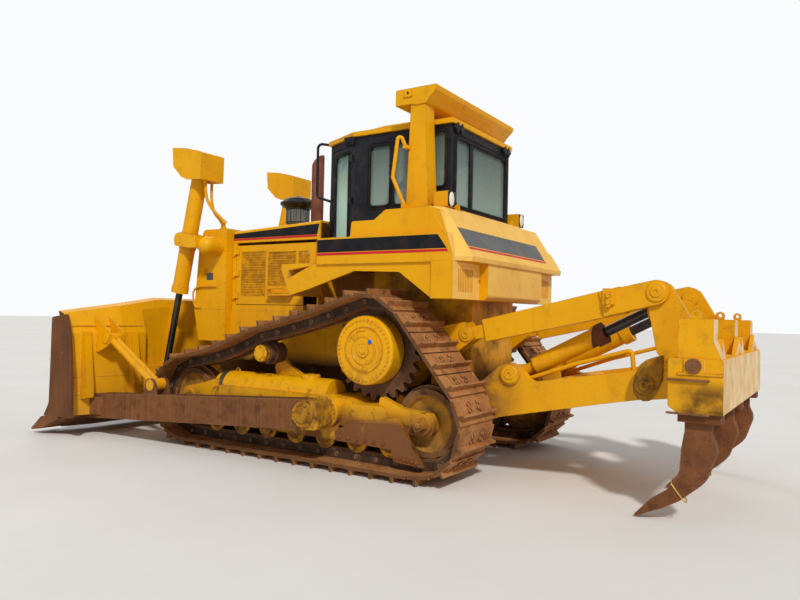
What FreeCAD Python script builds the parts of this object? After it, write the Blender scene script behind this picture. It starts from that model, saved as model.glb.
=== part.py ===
"""Track-type tractor with a raised drive sprocket, a semi-U blade and a three-shank ripper.

Millimetres, +X forward, +Y to the machine's left, +Z up, grouser tips on z = 0.
X is measured from the middle between the two idlers.  Every piece is moved forward
by FORE when it is written, which puts the origin under the middle of the whole length.
"""
import FreeCAD, Part
import bisect
import math
import os

V = FreeCAD.Vector
os.makedirs("parts", exist_ok=True)

FORE = 240.0
PLAY = 5.0
FIT = 1.0
PIN_PLAY = 0.05

# Shape helpers.


def rounded(points):
    """Edges of a closed outline through (u, v) or (u, v, radius) corners, in a flat plane."""
    corners = [(p[0], p[1], p[2] if len(p) > 2 else 0.0) for p in points]
    runs = []
    for i, (u, v, radius) in enumerate(corners):
        here = V(u, v, 0)
        before = V(corners[i - 1][0], corners[i - 1][1], 0)
        after = V(corners[(i + 1) % len(corners)][0], corners[(i + 1) % len(corners)][1], 0)
        if radius <= 0:
            runs.append((here, None, here))
            continue
        back = (before - here).normalize()
        ahead = (after - here).normalize()
        half = back.getAngle(ahead) / 2
        reach = radius / math.tan(half)
        middle = (back + ahead).normalize()
        centre = here + middle * (radius / math.sin(half))
        runs.append((here + back * reach, centre - middle * radius, here + ahead * reach))
    edges = []
    for i, (start, mid, end) in enumerate(runs):
        if mid is not None:
            edges.append(Part.Arc(start, mid, end).toShape())
        following = runs[(i + 1) % len(runs)][0]
        if (following - end).Length > 1e-6:
            edges.append(Part.LineSegment(end, following).toShape())
    return edges


def prism(axis, points, low, high):
    """Solid between two planes square to an axis, from an outline in the other two.

    The outline is (x, z) for axis y, (y, z) for axis x and (x, y) for axis z.
    """
    face = Part.Face(Part.Wire(rounded(points)))
    turn = {"y": (V(1, 0, 0), V(0, 0, 1), V(0, 1, 0)),
            "x": (V(0, 1, 0), V(0, 0, 1), V(1, 0, 0)),
            "z": (V(1, 0, 0), V(0, 1, 0), V(0, 0, 1))}[axis]
    u, v, w = turn
    matrix = FreeCAD.Matrix(u.x, v.x, w.x, 0, u.y, v.y, w.y, 0, u.z, v.z, w.z, 0, 0, 0, 0, 1)
    flat = face.transformGeometry(matrix) if axis == "y" else face.transformed(matrix)
    flat.translate(w * low)
    solid = flat.extrude(w * (high - low))
    if solid.Volume < 0:
        solid.reverse()
    return solid


def box(x, y, z):
    """Block between three (low, high) pairs."""
    return Part.makeBox(x[1] - x[0], y[1] - y[0], z[1] - z[0], V(x[0], y[0], z[0]))


def rod(start, end, radius):
    """Round bar between two points."""
    a = V(*start)
    b = V(*end)
    return Part.makeCylinder(radius, (b - a).Length, a, b - a)


def disc(x, z, radius, y_low, y_high):
    """Round bar along Y."""
    return rod((x, y_low, z), (x, y_high, z), radius)


def ring(x, z, radius, hole, y_low, y_high):
    """Round sleeve along Y."""
    return disc(x, z, radius, y_low, y_high).cut(disc(x, z, hole, y_low - 1, y_high + 1))


def joined(shapes):
    """One solid from pieces that overlap."""
    whole = shapes[0]
    for shape in shapes[1:]:
        whole = whole.fuse(shape)
    return whole.removeSplitter()


def mirrored(shape):
    """The same shape on the machine's other side."""
    return shape.mirror(V(0, 0, 0), V(0, 1, 0))


def both(shape):
    """A left piece and its mirror image, in one node."""
    return Part.makeCompound([shape, mirrored(shape)])


def pipe(points, radius, bend):
    """Bent round bar through a list of points, with arcs of one bend radius."""
    stops = [V(*p) for p in points]
    edges = []
    here = stops[0]
    for before, corner, after in zip(stops, stops[1:], stops[2:]):
        back = (before - corner).normalize()
        ahead = (after - corner).normalize()
        half = back.getAngle(ahead) / 2
        reach = bend / math.tan(half)
        middle = (back + ahead).normalize()
        start = corner + back * reach
        end = corner + ahead * reach
        centre = corner + middle * (bend / math.sin(half))
        edges.append(Part.LineSegment(here, start).toShape())
        edges.append(Part.Arc(start, centre - middle * bend, end).toShape())
        here = end
    edges.append(Part.LineSegment(here, stops[-1]).toShape())
    path = Part.Wire(edges)
    section = Part.Wire(Part.Circle(stops[0], stops[1] - stops[0], radius).toShape())
    return path.makePipeShell([section], True, False)


def save(name, shape):
    """Moves a piece to the object's own origin and writes it."""
    placed = shape.copy()
    placed.translate(V(FORE, 0, 0))
    placed.exportStep("parts/" + name + ".step")


# Driving sizes.

GAUGE = 1981.0
CASE_Y = 450.0
RAIL_TOP_Z = 1395.0
RAIL_FRONT = 1780.0
CASE_TOP = 1850.0
CASE_REAR = -1490.0
TRACK_Y = GAUGE / 2
SHOE_WIDTH = 610.0
SHOE_COUNT = 39
SHOE_PLATE = 14.0
GROUSER = 50.0
PIN_TO_SHOE = 58.0
PIN_TO_RAIL = 60.0
CHAIN_REACH = 363.0

IDLER_Z = PIN_TO_SHOE + SHOE_PLATE + GROUSER + CHAIN_REACH
IDLER_FRONT_X = 1435.0
IDLER_REAR_X = -1415.0
SPROCKET_X = -850.0
SPROCKET_Z = 1072.0
SPROCKET_REACH = 430.0
CARRIER_X = 436.0
CARRIER_Z = 982.0
CARRIER_R = 100.0
CARRIER_PLAY = 13.0
SAG_FRONT = 45.0
SAG_REAR = 22.0

RAIL_GAP = 90.0
RAIL_WIDTH = 62.0

TRUNNION_X = -450.0
TRUNNION_Z = 515.0
TRUNNION_R = 90.0
ARM_INNER = 1350.0
ARM_OUTER = 1530.0

YOKE_X = 1990.0
YOKE_Z = 2175.0
CYLINDER_Y = 760.0
LIFT_EYE_X = 2340.0
LIFT_EYE_Z = 620.0
LIFT_BARREL_R = 88.0
COLLAR_R = 96.0
LIFT_ROD_R = 38.0
LIFT_PIN_R = 35.0
LUG_IN = 49.0
LUG_OUT = 81.0
BRACE_Y = 1440.0
BRACE_EYE = 66.0
BRACE_LOW = (1600.0, 615.0)
BRACE_HIGH = (2360.0, 1060.0)

UPPER_FRONT = (-1552.0, 1228.0)
UPPER_REAR = (-3145.0, 1600.0)
LOWER_REAR = (-3085.0, 903.0)
LOWER_FRONT = (LOWER_REAR[0] + UPPER_FRONT[0] - UPPER_REAR[0],
               LOWER_REAR[1] + UPPER_FRONT[1] - UPPER_REAR[1])
LINK_Y = 600.0
LINK_EYE = 44.0
EAR_IN = LINK_EYE + PLAY
EAR_OUT = EAR_IN + 30.0
RIP_BASE = (-1965.0, 905.0)
RIP_EYE = (-3110.0, 1500.0)
RIP_CYL_Y = 400.0

# Track chain.


def pushed_out(point, wheel):
    """The point itself, or where it falls inside a wheel's reach, the nearest point on that circle."""
    x, z, reach = wheel
    distance = math.dist(point, (x, z))
    if distance >= reach:
        return point
    return (x + (point[0] - x) * reach / distance, z + (point[1] - z) * reach / distance)


def track_path():
    """Fine points along the chain's pin line, once round from below the front idler."""
    step = math.radians(2.0)
    front = (IDLER_FRONT_X, IDLER_Z, CHAIN_REACH)
    rear = (IDLER_REAR_X, IDLER_Z, CHAIN_REACH)
    drive = (SPROCKET_X, SPROCKET_Z, SPROCKET_REACH)
    carrier = (CARRIER_X, CARRIER_Z, CARRIER_R + PIN_TO_RAIL + CARRIER_PLAY)
    wheels = [(front, 0.0), (carrier, SAG_FRONT), (drive, SAG_REAR), (rear, 0.0)]
    headings = []
    for i, (wheel, _) in enumerate(wheels):
        following = wheels[(i + 1) % len(wheels)][0]
        run_x = following[0] - wheel[0]
        run_z = following[1] - wheel[1]
        lean = math.asin((wheel[2] - following[2]) / math.hypot(run_x, run_z))
        headings.append((math.atan2(run_z, run_x) + lean) % (2 * math.pi))
    points = []
    for i, ((x, z, reach), _) in enumerate(wheels):
        start = headings[i - 1] - math.pi / 2
        sweep = (headings[i] - headings[i - 1]) % (2 * math.pi)
        if sweep > math.pi * 1.5:
            sweep = 0.0
        count = max(1, int(round(sweep / step)))
        for k in range(count + 1):
            angle = start + sweep * k / count
            points.append((x + reach * math.cos(angle), z + reach * math.sin(angle)))
        sag = wheels[(i + 1) % len(wheels)][1]
        if sag > 0:
            following = wheels[(i + 1) % len(wheels)][0]
            angle = headings[i] - math.pi / 2
            end = (following[0] + following[2] * math.cos(angle),
                   following[1] + following[2] * math.sin(angle))
            begin = points[-1]
            for k in range(1, 24):
                t = k / 24
                drop = 4 * sag * t * (1 - t)
                spot = (begin[0] + (end[0] - begin[0]) * t, begin[1] + (end[1] - begin[1]) * t - drop)
                points.append(pushed_out(pushed_out(spot, (x, z, reach)), following))
    return points


def chain_pins():
    """Pin places that close the loop with SHOE_COUNT equal links, and the link's length."""
    path = track_path()
    path.append(path[0])
    marks = [0.0]
    for a, b in zip(path, path[1:]):
        marks.append(marks[-1] + math.dist(a, b))
    total = marks[-1]

    def spot(distance):
        """Point at a distance along the path."""
        distance %= total
        i = bisect.bisect_right(marks, distance) - 1
        share = (distance - marks[i]) / (marks[i + 1] - marks[i])
        a, b = path[i], path[i + 1]
        return (a[0] + (b[0] - a[0]) * share, a[1] + (b[1] - a[1]) * share)

    def walk(pitch):
        """Distances of the pins, a fixed straight length apart."""
        pins = [0.0]
        for _ in range(SHOE_COUNT):
            low, high = pins[-1] + pitch * 0.9, pins[-1] + pitch * 1.3
            for _ in range(40):
                middle = (low + high) / 2
                if math.dist(spot(pins[-1]), spot(middle)) < pitch:
                    low = middle
                else:
                    high = middle
            pins.append(low)
        return pins

    low, high = total / SHOE_COUNT * 0.95, total / SHOE_COUNT
    for _ in range(40):
        pitch = (low + high) / 2
        if walk(pitch)[-1] > total:
            high = pitch
        else:
            low = pitch
    return [spot(distance) for distance in walk(low)[:-1]], low


PINS, PITCH = chain_pins()


def chain_frames():
    """Each link's start, its length, its direction and its outward side."""
    frames = []
    for a, b in zip(PINS, PINS[1:] + PINS[:1]):
        length = math.dist(a, b)
        along = ((b[0] - a[0]) / length, (b[1] - a[1]) / length)
        frames.append((a, length, along, (along[1], -along[0])))
    return frames


def off_chain(frame, share, out):
    """Point at a share of the link's length and a distance outward from its pin line."""
    start, length, along, outward = frame
    return (start[0] + along[0] * length * share + outward[0] * out,
            start[1] + along[1] * length * share + outward[1] * out)


def corner_offset(i, frames, out):
    """Point outward of a pin, on the line that halves the angle between its links."""
    before, after = frames[i - 1], frames[i]
    mean = (before[3][0] + after[3][0], before[3][1] + after[3][1])
    size = math.hypot(*mean)
    scale = out / (size / 2)
    return (after[0][0] + mean[0] / size * scale, after[0][1] + mean[1] / size * scale)


def band(outer, inner, y_low, y_high):
    """Closed band between two outlines in the (x, z) plane."""
    return prism("y", outer, y_low, y_high).cut(prism("y", inner, y_low - 1, y_high + 1))


# share of the link, height above the plate's outer face
SHOE_OUTLINE = [(0.03, None), (0.03, 0.0), (0.60, 0.0), (0.62, 1.0), (0.70, 1.0), (0.73, 0.0), (0.97, 0.0),
                (0.97, None)]


def track(side):
    """One track: shoes with their grousers, and the chain's two rails, as one loop."""
    frames = chain_frames()
    seat = PIN_TO_SHOE - 6.0
    face = PIN_TO_SHOE + SHOE_PLATE
    outer = []
    for frame in frames:
        for share, height in SHOE_OUTLINE:
            out = seat if height is None else face + GROUSER * height
            outer.append(off_chain(frame, share, out))
    inner = [corner_offset(i, frames, seat - 12.0) for i in range(len(frames))]
    centre = side * TRACK_Y
    half = SHOE_WIDTH / 2
    pieces = [band(outer, inner, centre - half, centre + half)]
    rail_outer = [corner_offset(i, frames, seat - 4.0) for i in range(len(frames))]
    rail_inner = [corner_offset(i, frames, -PIN_TO_RAIL) for i in range(len(frames))]
    for edge in (-1, 1):
        near = centre + edge * RAIL_GAP / 2
        far = near + edge * RAIL_WIDTH
        pieces.append(band(rail_outer, rail_inner, min(near, far), max(near, far)))
    return joined(pieces)


# Track wheels.

IDLER_TREAD = CHAIN_REACH * math.cos(math.asin(PITCH / 2 / CHAIN_REACH)) - PIN_TO_RAIL - FIT
IDLER_FLANGE = 318.0
IDLER_FLANGE_W = 76.0
IDLER_W = 190.0
IDLER_HUB_R = 110.0
IDLER_DISH = 235.0


def idler(x):
    """Idler on the left: tread, raised middle flange and dished sides."""
    y = TRACK_Y
    half = IDLER_W / 2
    wheel = joined([disc(x, IDLER_Z, IDLER_TREAD, y - half, y + half),
                    disc(x, IDLER_Z, IDLER_FLANGE, y - IDLER_FLANGE_W / 2, y + IDLER_FLANGE_W / 2)])
    for edge in (-1, 1):
        dish = Part.makeCone(IDLER_DISH, IDLER_DISH - 30.0, 40.0, V(x, y + edge * (half + 0.1), IDLER_Z),
                             V(0, -edge, 0))
        wheel = wheel.cut(dish)
    return joined([wheel, disc(x, IDLER_Z, IDLER_HUB_R, y - half, y + half)])


TOOTH_COUNT = 25
TOOTH_TIP = 448.0
TOOTH_ROOT = 392.0
SPROCKET_W = 68.0
HUB_R = 261.0
SPROCKET_BORE = HUB_R + PIN_PLAY


def sprocket():
    """Left sprocket ring with rounded teeth, its bolt circle left open."""
    points = []
    for k in range(TOOTH_COUNT):
        turn = 360.0 * k / TOOTH_COUNT
        for shift, reach, soft in ((-5.2, TOOTH_ROOT, 14.0), (-1.6, TOOTH_TIP, 5.0), (1.6, TOOTH_TIP, 5.0),
                                   (5.2, TOOTH_ROOT, 14.0)):
            angle = math.radians(turn + shift)
            points.append((SPROCKET_X + reach * math.cos(angle), SPROCKET_Z + reach * math.sin(angle),
                           soft))
    y = TRACK_Y
    wheel = prism("y", points, y - SPROCKET_W / 2, y + SPROCKET_W / 2)
    return wheel.cut(disc(SPROCKET_X, SPROCKET_Z, SPROCKET_BORE, y - 200, y + 200))


COVER_R = 300.0
COVER_FACE = 1225.0
COVER_BACK = 1045.0
HUB_INNER = 560.0
CASE_R = 370.0
CASE_R_OUT = 330.0
CASE_DEPTH = 245.0


def final_drive():
    """Left final drive: round case, hub through the sprocket and domed cover."""
    x, z = SPROCKET_X, SPROCKET_Z
    cover = disc(x, z, COVER_R, COVER_BACK, COVER_FACE)
    rim = [e for e in cover.Edges
           if abs(e.BoundBox.YMin - COVER_FACE) < 1 and abs(e.BoundBox.YMax - COVER_FACE) < 1]
    cover = cover.makeFillet(22.0, rim)
    cover = cover.cut(ring(x, z, 205.0, 190.0, COVER_FACE - 8.0, COVER_FACE + 5.0))
    boss = disc(x, z, 62.0, COVER_FACE - 30.0, COVER_FACE + 12.0)
    hub = disc(x, z, HUB_R, HUB_INNER, COVER_BACK + 5.0)
    case = Part.makeCone(CASE_R, CASE_R_OUT, CASE_DEPTH, V(x, HUB_INNER, z), V(0, 1, 0))
    return joined([cover, boss, hub, case])


ROLLER_TREAD = 92.0
ROLLER_FLANGE = 112.0
ROLLER_COUNT = 7
ROLLER_SPAN = 2130.0
RAIL_TOP = IDLER_Z - CHAIN_REACH + PIN_TO_RAIL
ROLLER_Z = RAIL_TOP + ROLLER_TREAD + FIT
ROLLER_X0 = -1075.0


def rollers():
    """Left track rollers under the frame, and the carrier roller that holds the upper run."""
    y = TRACK_Y
    pieces = []
    for k in range(ROLLER_COUNT):
        x = ROLLER_X0 + ROLLER_SPAN * k / (ROLLER_COUNT - 1)
        parts = [disc(x, ROLLER_Z, 70.0, y - 150.0, y + 150.0)]
        for edge in (-1, 1):
            near = y + edge * (RAIL_GAP / 2 - 6.0)
            far = y + edge * (RAIL_GAP / 2 + RAIL_WIDTH + 6.0)
            parts.append(disc(x, ROLLER_Z, ROLLER_TREAD, min(near, far), max(near, far)))
            out = far + edge * 18.0
            parts.append(disc(x, ROLLER_Z, ROLLER_FLANGE, min(far, out), max(far, out)))
        pieces.append(joined(parts))
    carrier = joined([disc(CARRIER_X, CARRIER_Z, CARRIER_R, y - 112.0, y + 112.0),
                      disc(CARRIER_X, CARRIER_Z, CARRIER_R + 14.0, y - 36.0, y + 36.0),
                      disc(CARRIER_X, CARRIER_Z, 82.0, y + 111.0, y + 160.0),
                      disc(CARRIER_X, CARRIER_Z, 52.0, y - 142.0, y - 110.0)])
    pieces.append(carrier)
    return pieces


# Track frames.

FRAME_TOP = 640.0
FRAME_LOW = 395.0
FRAME_IN = TRACK_Y - 175.0
FRAME_OUT = TRACK_Y + 190.0
TUBE_R = 150.0
TUBE_Z = 625.0


def track_frame():
    """Left roller frame with its recoil tube, guards, idler yokes and pivot."""
    y = TRACK_Y
    beam = prism("y", [(-1085.0, 470.0), (-1010.0, FRAME_LOW), (1000.0, FRAME_LOW), (1080.0, 470.0),
                       (1080.0, 600.0),
                       (960.0, FRAME_TOP), (-660.0, FRAME_TOP, 30.0), (-760.0, 600.0, 30.0),
                       (-1050.0, 600.0, 40.0)],
                 FRAME_IN, FRAME_OUT)
    tube = rod((-380.0, y, TUBE_Z), (1010.0, y, TUBE_Z), TUBE_R)
    nose = rod((1000.0, y, TUBE_Z), (1105.0, y, TUBE_Z), TUBE_R - 22.0)
    pieces = [beam, tube, nose]
    for edge in (-1, 1):
        inner = y + edge * (IDLER_W / 2 + 12.0)
        outer = y + edge * (IDLER_W / 2 + 66.0)
        low, high = min(inner, outer), max(inner, outer)
        pieces.append(prism("y", [(1040.0, 420.0), (1300.0, IDLER_Z - 95.0),
                                  (IDLER_FRONT_X + 105.0, IDLER_Z - 95.0, 60.0),
                                  (IDLER_FRONT_X + 105.0, IDLER_Z + 95.0, 60.0), (1250.0, 640.0),
                                  (1040.0, 700.0, 30.0)],
                            low, high))
        pieces.append(prism("y", [(-960.0, 440.0), (-1180.0, IDLER_Z - 95.0),
                                  (IDLER_REAR_X - 105.0, IDLER_Z - 95.0, 60.0),
                                  (IDLER_REAR_X - 105.0, IDLER_Z + 95.0, 60.0), (-1220.0, 600.0),
                                  (-980.0, 690.0, 30.0)],
                            low, high))
    pieces.append(prism("y", [(1010.0, 430.0), (1070.0, 430.0), (1070.0, 690.0), (1010.0, 690.0)],
                        y - 161.0, y + 161.0))
    guard = [(-540.0, 352.0), (-595.0, 375.0), (-758.0, 454.0), (-1001.0, 487.0), (-1183.0, 526.0),
             (-1275.0, 400.0),
             (-1450.0, 140.0), (-1235.0, 150.0), (-1165.0, 160.0), (-1140.0, 250.0), (-924.0, 257.0),
             (-560.0, 262.0)]
    pieces.append(prism("y", guard, FRAME_OUT - 25.0, FRAME_OUT + 20.0))
    pieces.append(box((-560.0, 1010.0), (FRAME_OUT - 25.0, FRAME_OUT), (262.0, 420.0)))
    pieces.append(box((-1010.0, 1010.0), (FRAME_IN, FRAME_IN + 25.0), (262.0, 420.0)))
    gusset = prism("y", [(60.0, 640.0), (60.0, 730.0), (330.0, 860.0), (400.0, 930.0, 45.0),
                         (500.0, 930.0, 45.0),
                         (520.0, 820.0), (470.0, 640.0)], y - 175.0, y - 140.0)
    pieces.append(gusset)
    pieces.append(disc(CARRIER_X, CARRIER_Z, 50.0, y - 175.0, y - 142.0))
    pieces.append(box((380.0, 490.0), (y - 175.0, y - 142.0), (840.0, 940.0)))
    pivot = disc(TRUNNION_X, TRUNNION_Z, 120.0, CASE_Y, FRAME_IN + 30.0)
    pieces.append(pivot)
    pieces.append(disc(TRUNNION_X, TRUNNION_Z, TRUNNION_R + 60.0, FRAME_OUT - 30.0, FRAME_OUT + 60.0))
    pieces.append(disc(TRUNNION_X, TRUNNION_Z, TRUNNION_R - PIN_PLAY, FRAME_OUT, ARM_OUTER - 30.0))
    for x in (IDLER_FRONT_X, IDLER_REAR_X):
        for edge in (-1, 1):
            near = y + edge * IDLER_W / 2
            far = y + edge * (IDLER_W / 2 + 66.0)
            pieces.append(disc(x, IDLER_Z, 55.0, min(near, far), max(near, far)))
    return joined(pieces)


# Main frame, hood and guard.

HOOD_Y = 552.0
RAISED_TOP = 2310.0
HOOD_FRONT = 1485.0
HOOD_REAR = 225.0
HOOD_TOP_F = 2285.0
HOOD_TOP_R = 2345.0
SHEET = 20.0


def main_frame():
    """Belly, side rails and rear case, with the axle housings' seats."""
    belly = prism("y", [(-1250.0, 470.0), (1500.0, 470.0), (1880.0, 620.0), (1880.0, 900.0),
                        (-1250.0, 900.0)], -330.0, 330.0)
    rails = prism("y", [(-500.0, 850.0), (1500.0, 850.0), (RAIL_FRONT, 1000.0), (RAIL_FRONT, RAIL_TOP_Z),
                        (-500.0, RAIL_TOP_Z)],
                  -HOOD_Y, HOOD_Y)
    rear = prism("y", [(-1330.0, 470.0, 60.0), (-400.0, 470.0), (-400.0, CASE_TOP), (-1300.0, CASE_TOP),
                       (CASE_REAR, 1640.0),
                       (CASE_REAR, 700.0, 60.0)], -CASE_Y, CASE_Y)
    seats = disc(SPROCKET_X, SPROCKET_Z, 330.0, -HUB_INNER, HUB_INNER)
    bar = rod((820.0, -FRAME_IN, 560.0), (820.0, FRAME_IN, 560.0), 85.0)
    return joined([belly, rails, rear, seats, bar])


GUARD_Y = 640.0
GUARD_REAR = 1495.0
POCKET_Y = 470.0
POCKET_LOW = 1240.0
POCKET_HIGH = 2120.0


def radiator_guard():
    """Radiator guard: a deep case, open in front, with a side vent and a bent handle."""
    outline = [(GUARD_REAR, 1045.0), (GUARD_REAR, 2310.0), (1880.0, 2310.0, 60.0), (1950.0, 2060.0),
               (2005.0, 1390.0), (1920.0, 1045.0)]
    case = prism("y", outline, -GUARD_Y, GUARD_Y)
    case = case.cut(box((GUARD_REAR - 1, RAIL_FRONT), (-HOOD_Y, HOOD_Y), (1040.0, RAIL_TOP_Z)))
    pocket = box((1800.0, 2100.0), (-POCKET_Y, POCKET_Y), (POCKET_LOW, POCKET_HIGH))
    case = case.cut(pocket)
    for side in (-1, 1):
        for k in range(3):
            z = 1790.0 + 28.0 * k
            y = side * GUARD_Y
            case = case.cut(box((1785.0, 1850.0), (min(y, y - side * 12.0), max(y, y - side * 12.0)),
                                (z, z + 18.0)))
    return case


GRILLE_BAR = 14.0
GRILLE_STEP = 44.0


def radiator_grille():
    """Grille in the guard's open front: a frame with level bars and three uprights."""
    x0, x1 = 1840.0, 1880.0
    y = POCKET_Y
    z0, z1 = POCKET_LOW, POCKET_HIGH
    frame = box((x0, x1), (-y, y), (z0, z1)).cut(box((x0 - 1, x1 + 1), (-y + 45.0, y - 45.0),
                                                     (z0 + 45.0, z1 - 45.0)))
    pieces = [frame]
    count = int((z1 - z0 - 90.0) / GRILLE_STEP)
    for k in range(1, count):
        z = z0 + 45.0 + (z1 - z0 - 90.0) * k / count
        pieces.append(box((x0 + 5.0, x1 - 5.0), (-y + 44.0, y - 44.0),
                          (z - GRILLE_BAR / 2, z + GRILLE_BAR / 2)))
    for k in (-1, 0, 1):
        mid = k * 211.0
        pieces.append(box((x0 + 12.0, x1 - 12.0), (mid - 9.0, mid + 9.0), (z0 + 44.0, z1 - 44.0)))
    return joined(pieces)


DOOR_TOP = 2118.0
DOOR_LOW = 1465.0
DOOR_FRONT = 1425.0


HINGE_X = DOOR_FRONT + 2.5
HINGE_Y = HOOD_Y + 16.0
HINGE_PIN_R = 8.0
HINGE_R = 14.0
HINGE_TALL = 60.0
DOOR_HINGES = (1530.0, 1780.0, 2020.0)


def hood():
    """Engine hood: sloping top, side bands, hinge posts and cross panels."""
    outline = [(HOOD_REAR, 2150.0), (HOOD_FRONT, 2150.0), (HOOD_FRONT, HOOD_TOP_F), (HOOD_REAR, HOOD_TOP_R)]
    top = prism("y", outline, -HOOD_Y, HOOD_Y)
    hollow = [(HOOD_REAR - 1, 2149.0), (HOOD_FRONT - 60.0, 2149.0), (HOOD_FRONT - 60.0, HOOD_TOP_F - SHEET),
              (HOOD_REAR - 1, HOOD_TOP_R - SHEET)]
    top = top.cut(prism("y", hollow, -HOOD_Y + SHEET, HOOD_Y - SHEET))
    edges = [e for e in top.Edges
             if e.BoundBox.ZMin > 2280.0 and e.BoundBox.XLength > 1000.0 and abs(abs(e.BoundBox.YMin) - HOOD_Y) < 1]
    top = top.makeFillet(28.0, edges)
    posts = [box((DOOR_FRONT + PLAY, HOOD_FRONT),
                 (side * HOOD_Y - 40.0 if side > 0 else -HOOD_Y,
                  side * HOOD_Y if side > 0 else -HOOD_Y + 40.0),
                 (RAIL_TOP_Z, 2160.0)) for side in (-1, 1)]
    wall = box((HOOD_REAR, HOOD_REAR + SHEET), (-HOOD_Y, HOOD_Y), (RAIL_TOP_Z, 2160.0))
    pins = []
    for side in (-1, 1):
        for z in DOOR_HINGES:
            pin = Part.makeCylinder(HINGE_PIN_R, HINGE_TALL, V(HINGE_X, side * HINGE_Y, z))
            low, high = sorted((side * HOOD_Y, side * (HINGE_Y + HINGE_PIN_R)))
            pins.append(joined([pin, box((DOOR_FRONT, HOOD_FRONT - 20.0), (low, high), (z - 12.0, z))]))
    return joined([top, wall] + posts + pins)


# window's rear x, front x, low z, high z
DOOR_WINDOWS = [(980.0, 1345.0, 1560.0, 2046.0), (545.0, 940.0, 1672.0, 2032.0),
                (358.0, 505.0, 1909.0, 2030.0)]
DOOR_T = 22.0
SLAT_STEP = 27.0


def engine_door():
    """Left engine door: a panel with three grille windows filled with slats, and its latch."""
    outline = [(DOOR_FRONT, DOOR_LOW), (DOOR_FRONT, DOOR_TOP), (275.0, DOOR_TOP), (275.0, 1850.0),
               (330.0, 1810.0), (440.0, 1740.0), (440.0, DOOR_LOW)]
    y0 = HOOD_Y - DOOR_T
    panel = prism("y", outline, y0, HOOD_Y)
    bars = []
    for rear, front, low, high in DOOR_WINDOWS:
        panel = panel.cut(box((rear, front), (y0 - 1, HOOD_Y + 1), (low, high)))
        count = int((high - low) / SLAT_STEP)
        for k in range(1, count):
            z = low + (high - low) * k / count
            bars.append(box((rear - 1, front + 1), (y0 + 6.0, HOOD_Y - 5.0), (z - 5.0, z + 5.0)))
    step = [box((560.0, 900.0), (HOOD_Y - 1, HOOD_Y + 70.0), (1560.0, 1580.0)),
            box((560.0, 590.0), (HOOD_Y - 1, HOOD_Y + 45.0), (1580.0, 1640.0)),
            box((870.0, 900.0), (HOOD_Y - 1, HOOD_Y + 45.0), (1580.0, 1640.0))]
    latch = [box((380.0, 440.0), (HOOD_Y - 1, HOOD_Y + 22.0), (1790.0, 1870.0))]
    knuckles = []
    for z in DOOR_HINGES:
        knuckle = Part.makeCylinder(HINGE_R, HINGE_TALL, V(HINGE_X, HINGE_Y, z))
        knuckles.append(knuckle.fuse(box((HINGE_X - 50.0, HINGE_X), (HOOD_Y - 1, HINGE_Y),
                                         (z, z + HINGE_TALL))))
    whole = joined([panel] + bars + step + latch + knuckles)
    clear = box((DOOR_FRONT, HINGE_X + 40.0), (y0, HOOD_Y), (DOOR_LOW, DOOR_TOP))
    whole = whole.cut(clear)
    for z in DOOR_HINGES:
        whole = whole.cut(Part.makeCylinder(HINGE_PIN_R + PIN_PLAY, HINGE_TALL + 2,
                                            V(HINGE_X, HINGE_Y, z - 1)))
    return whole


STACK_X, STACK_Y, STACK_R = 835.0, -120.0, 72.0
CLEANER_X, CLEANER_Y, CLEANER_R = 1130.0, -120.0, 140.0


def hood_top():
    """The room below the hood's sloping top, to seat what stands on it."""
    return prism("y", [(HOOD_REAR, 2100.0), (HOOD_FRONT, 2100.0), (HOOD_FRONT, HOOD_TOP_F),
                       (HOOD_REAR, HOOD_TOP_R)],
                 -HOOD_Y, HOOD_Y)


def exhaust_stack():
    """Exhaust stack with a slanted mouth that opens to the rear."""
    foot = Part.makeCylinder(STACK_R + 22.0, 28.0, V(STACK_X, STACK_Y, 2304.0))
    pipe_out = Part.makeCylinder(STACK_R, 914.0, V(STACK_X, STACK_Y, 2304.0))
    hole = Part.makeCylinder(STACK_R - 6.0, 880.0, V(STACK_X, STACK_Y, 2345.0))
    slant = prism("y", [(STACK_X + 90.0, 3050.0), (STACK_X - 90.0, 3230.0), (STACK_X - 90.0, 3300.0),
                        (STACK_X + 90.0, 3300.0)],
                  STACK_Y - 100.0, STACK_Y + 100.0)
    return joined([foot, pipe_out]).cut(hole).cut(slant).cut(hood_top())


def air_precleaner():
    """Round inlet bowl under a mushroom cap."""
    x, y = CLEANER_X, CLEANER_Y
    profile = [(0.0, 2290.0), (95.0, 2290.0), (95.0, 2400.0), (CLEANER_R, 2430.0), (CLEANER_R, 2600.0),
               (205.0, 2650.0, 8.0),
               (212.0, 2672.0, 8.0), (150.0, 2725.0, 60.0), (60.0, 2748.0), (0.0, 2748.0)]
    edges = rounded(profile)
    face = Part.Face(Part.Wire(edges))
    face.rotate(V(0, 0, 0), V(1, 0, 0), 90)
    bowl = face.revolve(V(0, 0, 0), V(0, 0, 1), 360)
    bowl.translate(V(x, y, 0))
    return bowl.cut(hood_top())


# Cab.

CAB_REAR = -1340.0
CAB_SIDE = 620.0
CAB_KNEE = -250.0
CAB_FRONT = 205.0
CAB_NARROW = 420.0
CAB_LOW = 1850.0
CAB_HIGH = 3130.0
CAB_WALL = 45.0
CAB_FLOOR = 60.0
GLASS_T = 8.0


def cab_plan(inset):
    """Outline of the cab seen from above, moved inwards by an inset."""
    lean = math.atan2(CAB_SIDE - CAB_NARROW, CAB_FRONT - CAB_KNEE)
    knee = inset * math.tan(lean / 2)
    nose = inset * math.tan((math.pi / 2 - lean) / 2)
    half = [(CAB_REAR + inset, CAB_SIDE - inset), (CAB_KNEE - knee, CAB_SIDE - inset),
            (CAB_FRONT - inset, CAB_NARROW - nose * 1.0)]
    return half + [(x, -y) for x, y in reversed(half)]


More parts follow.
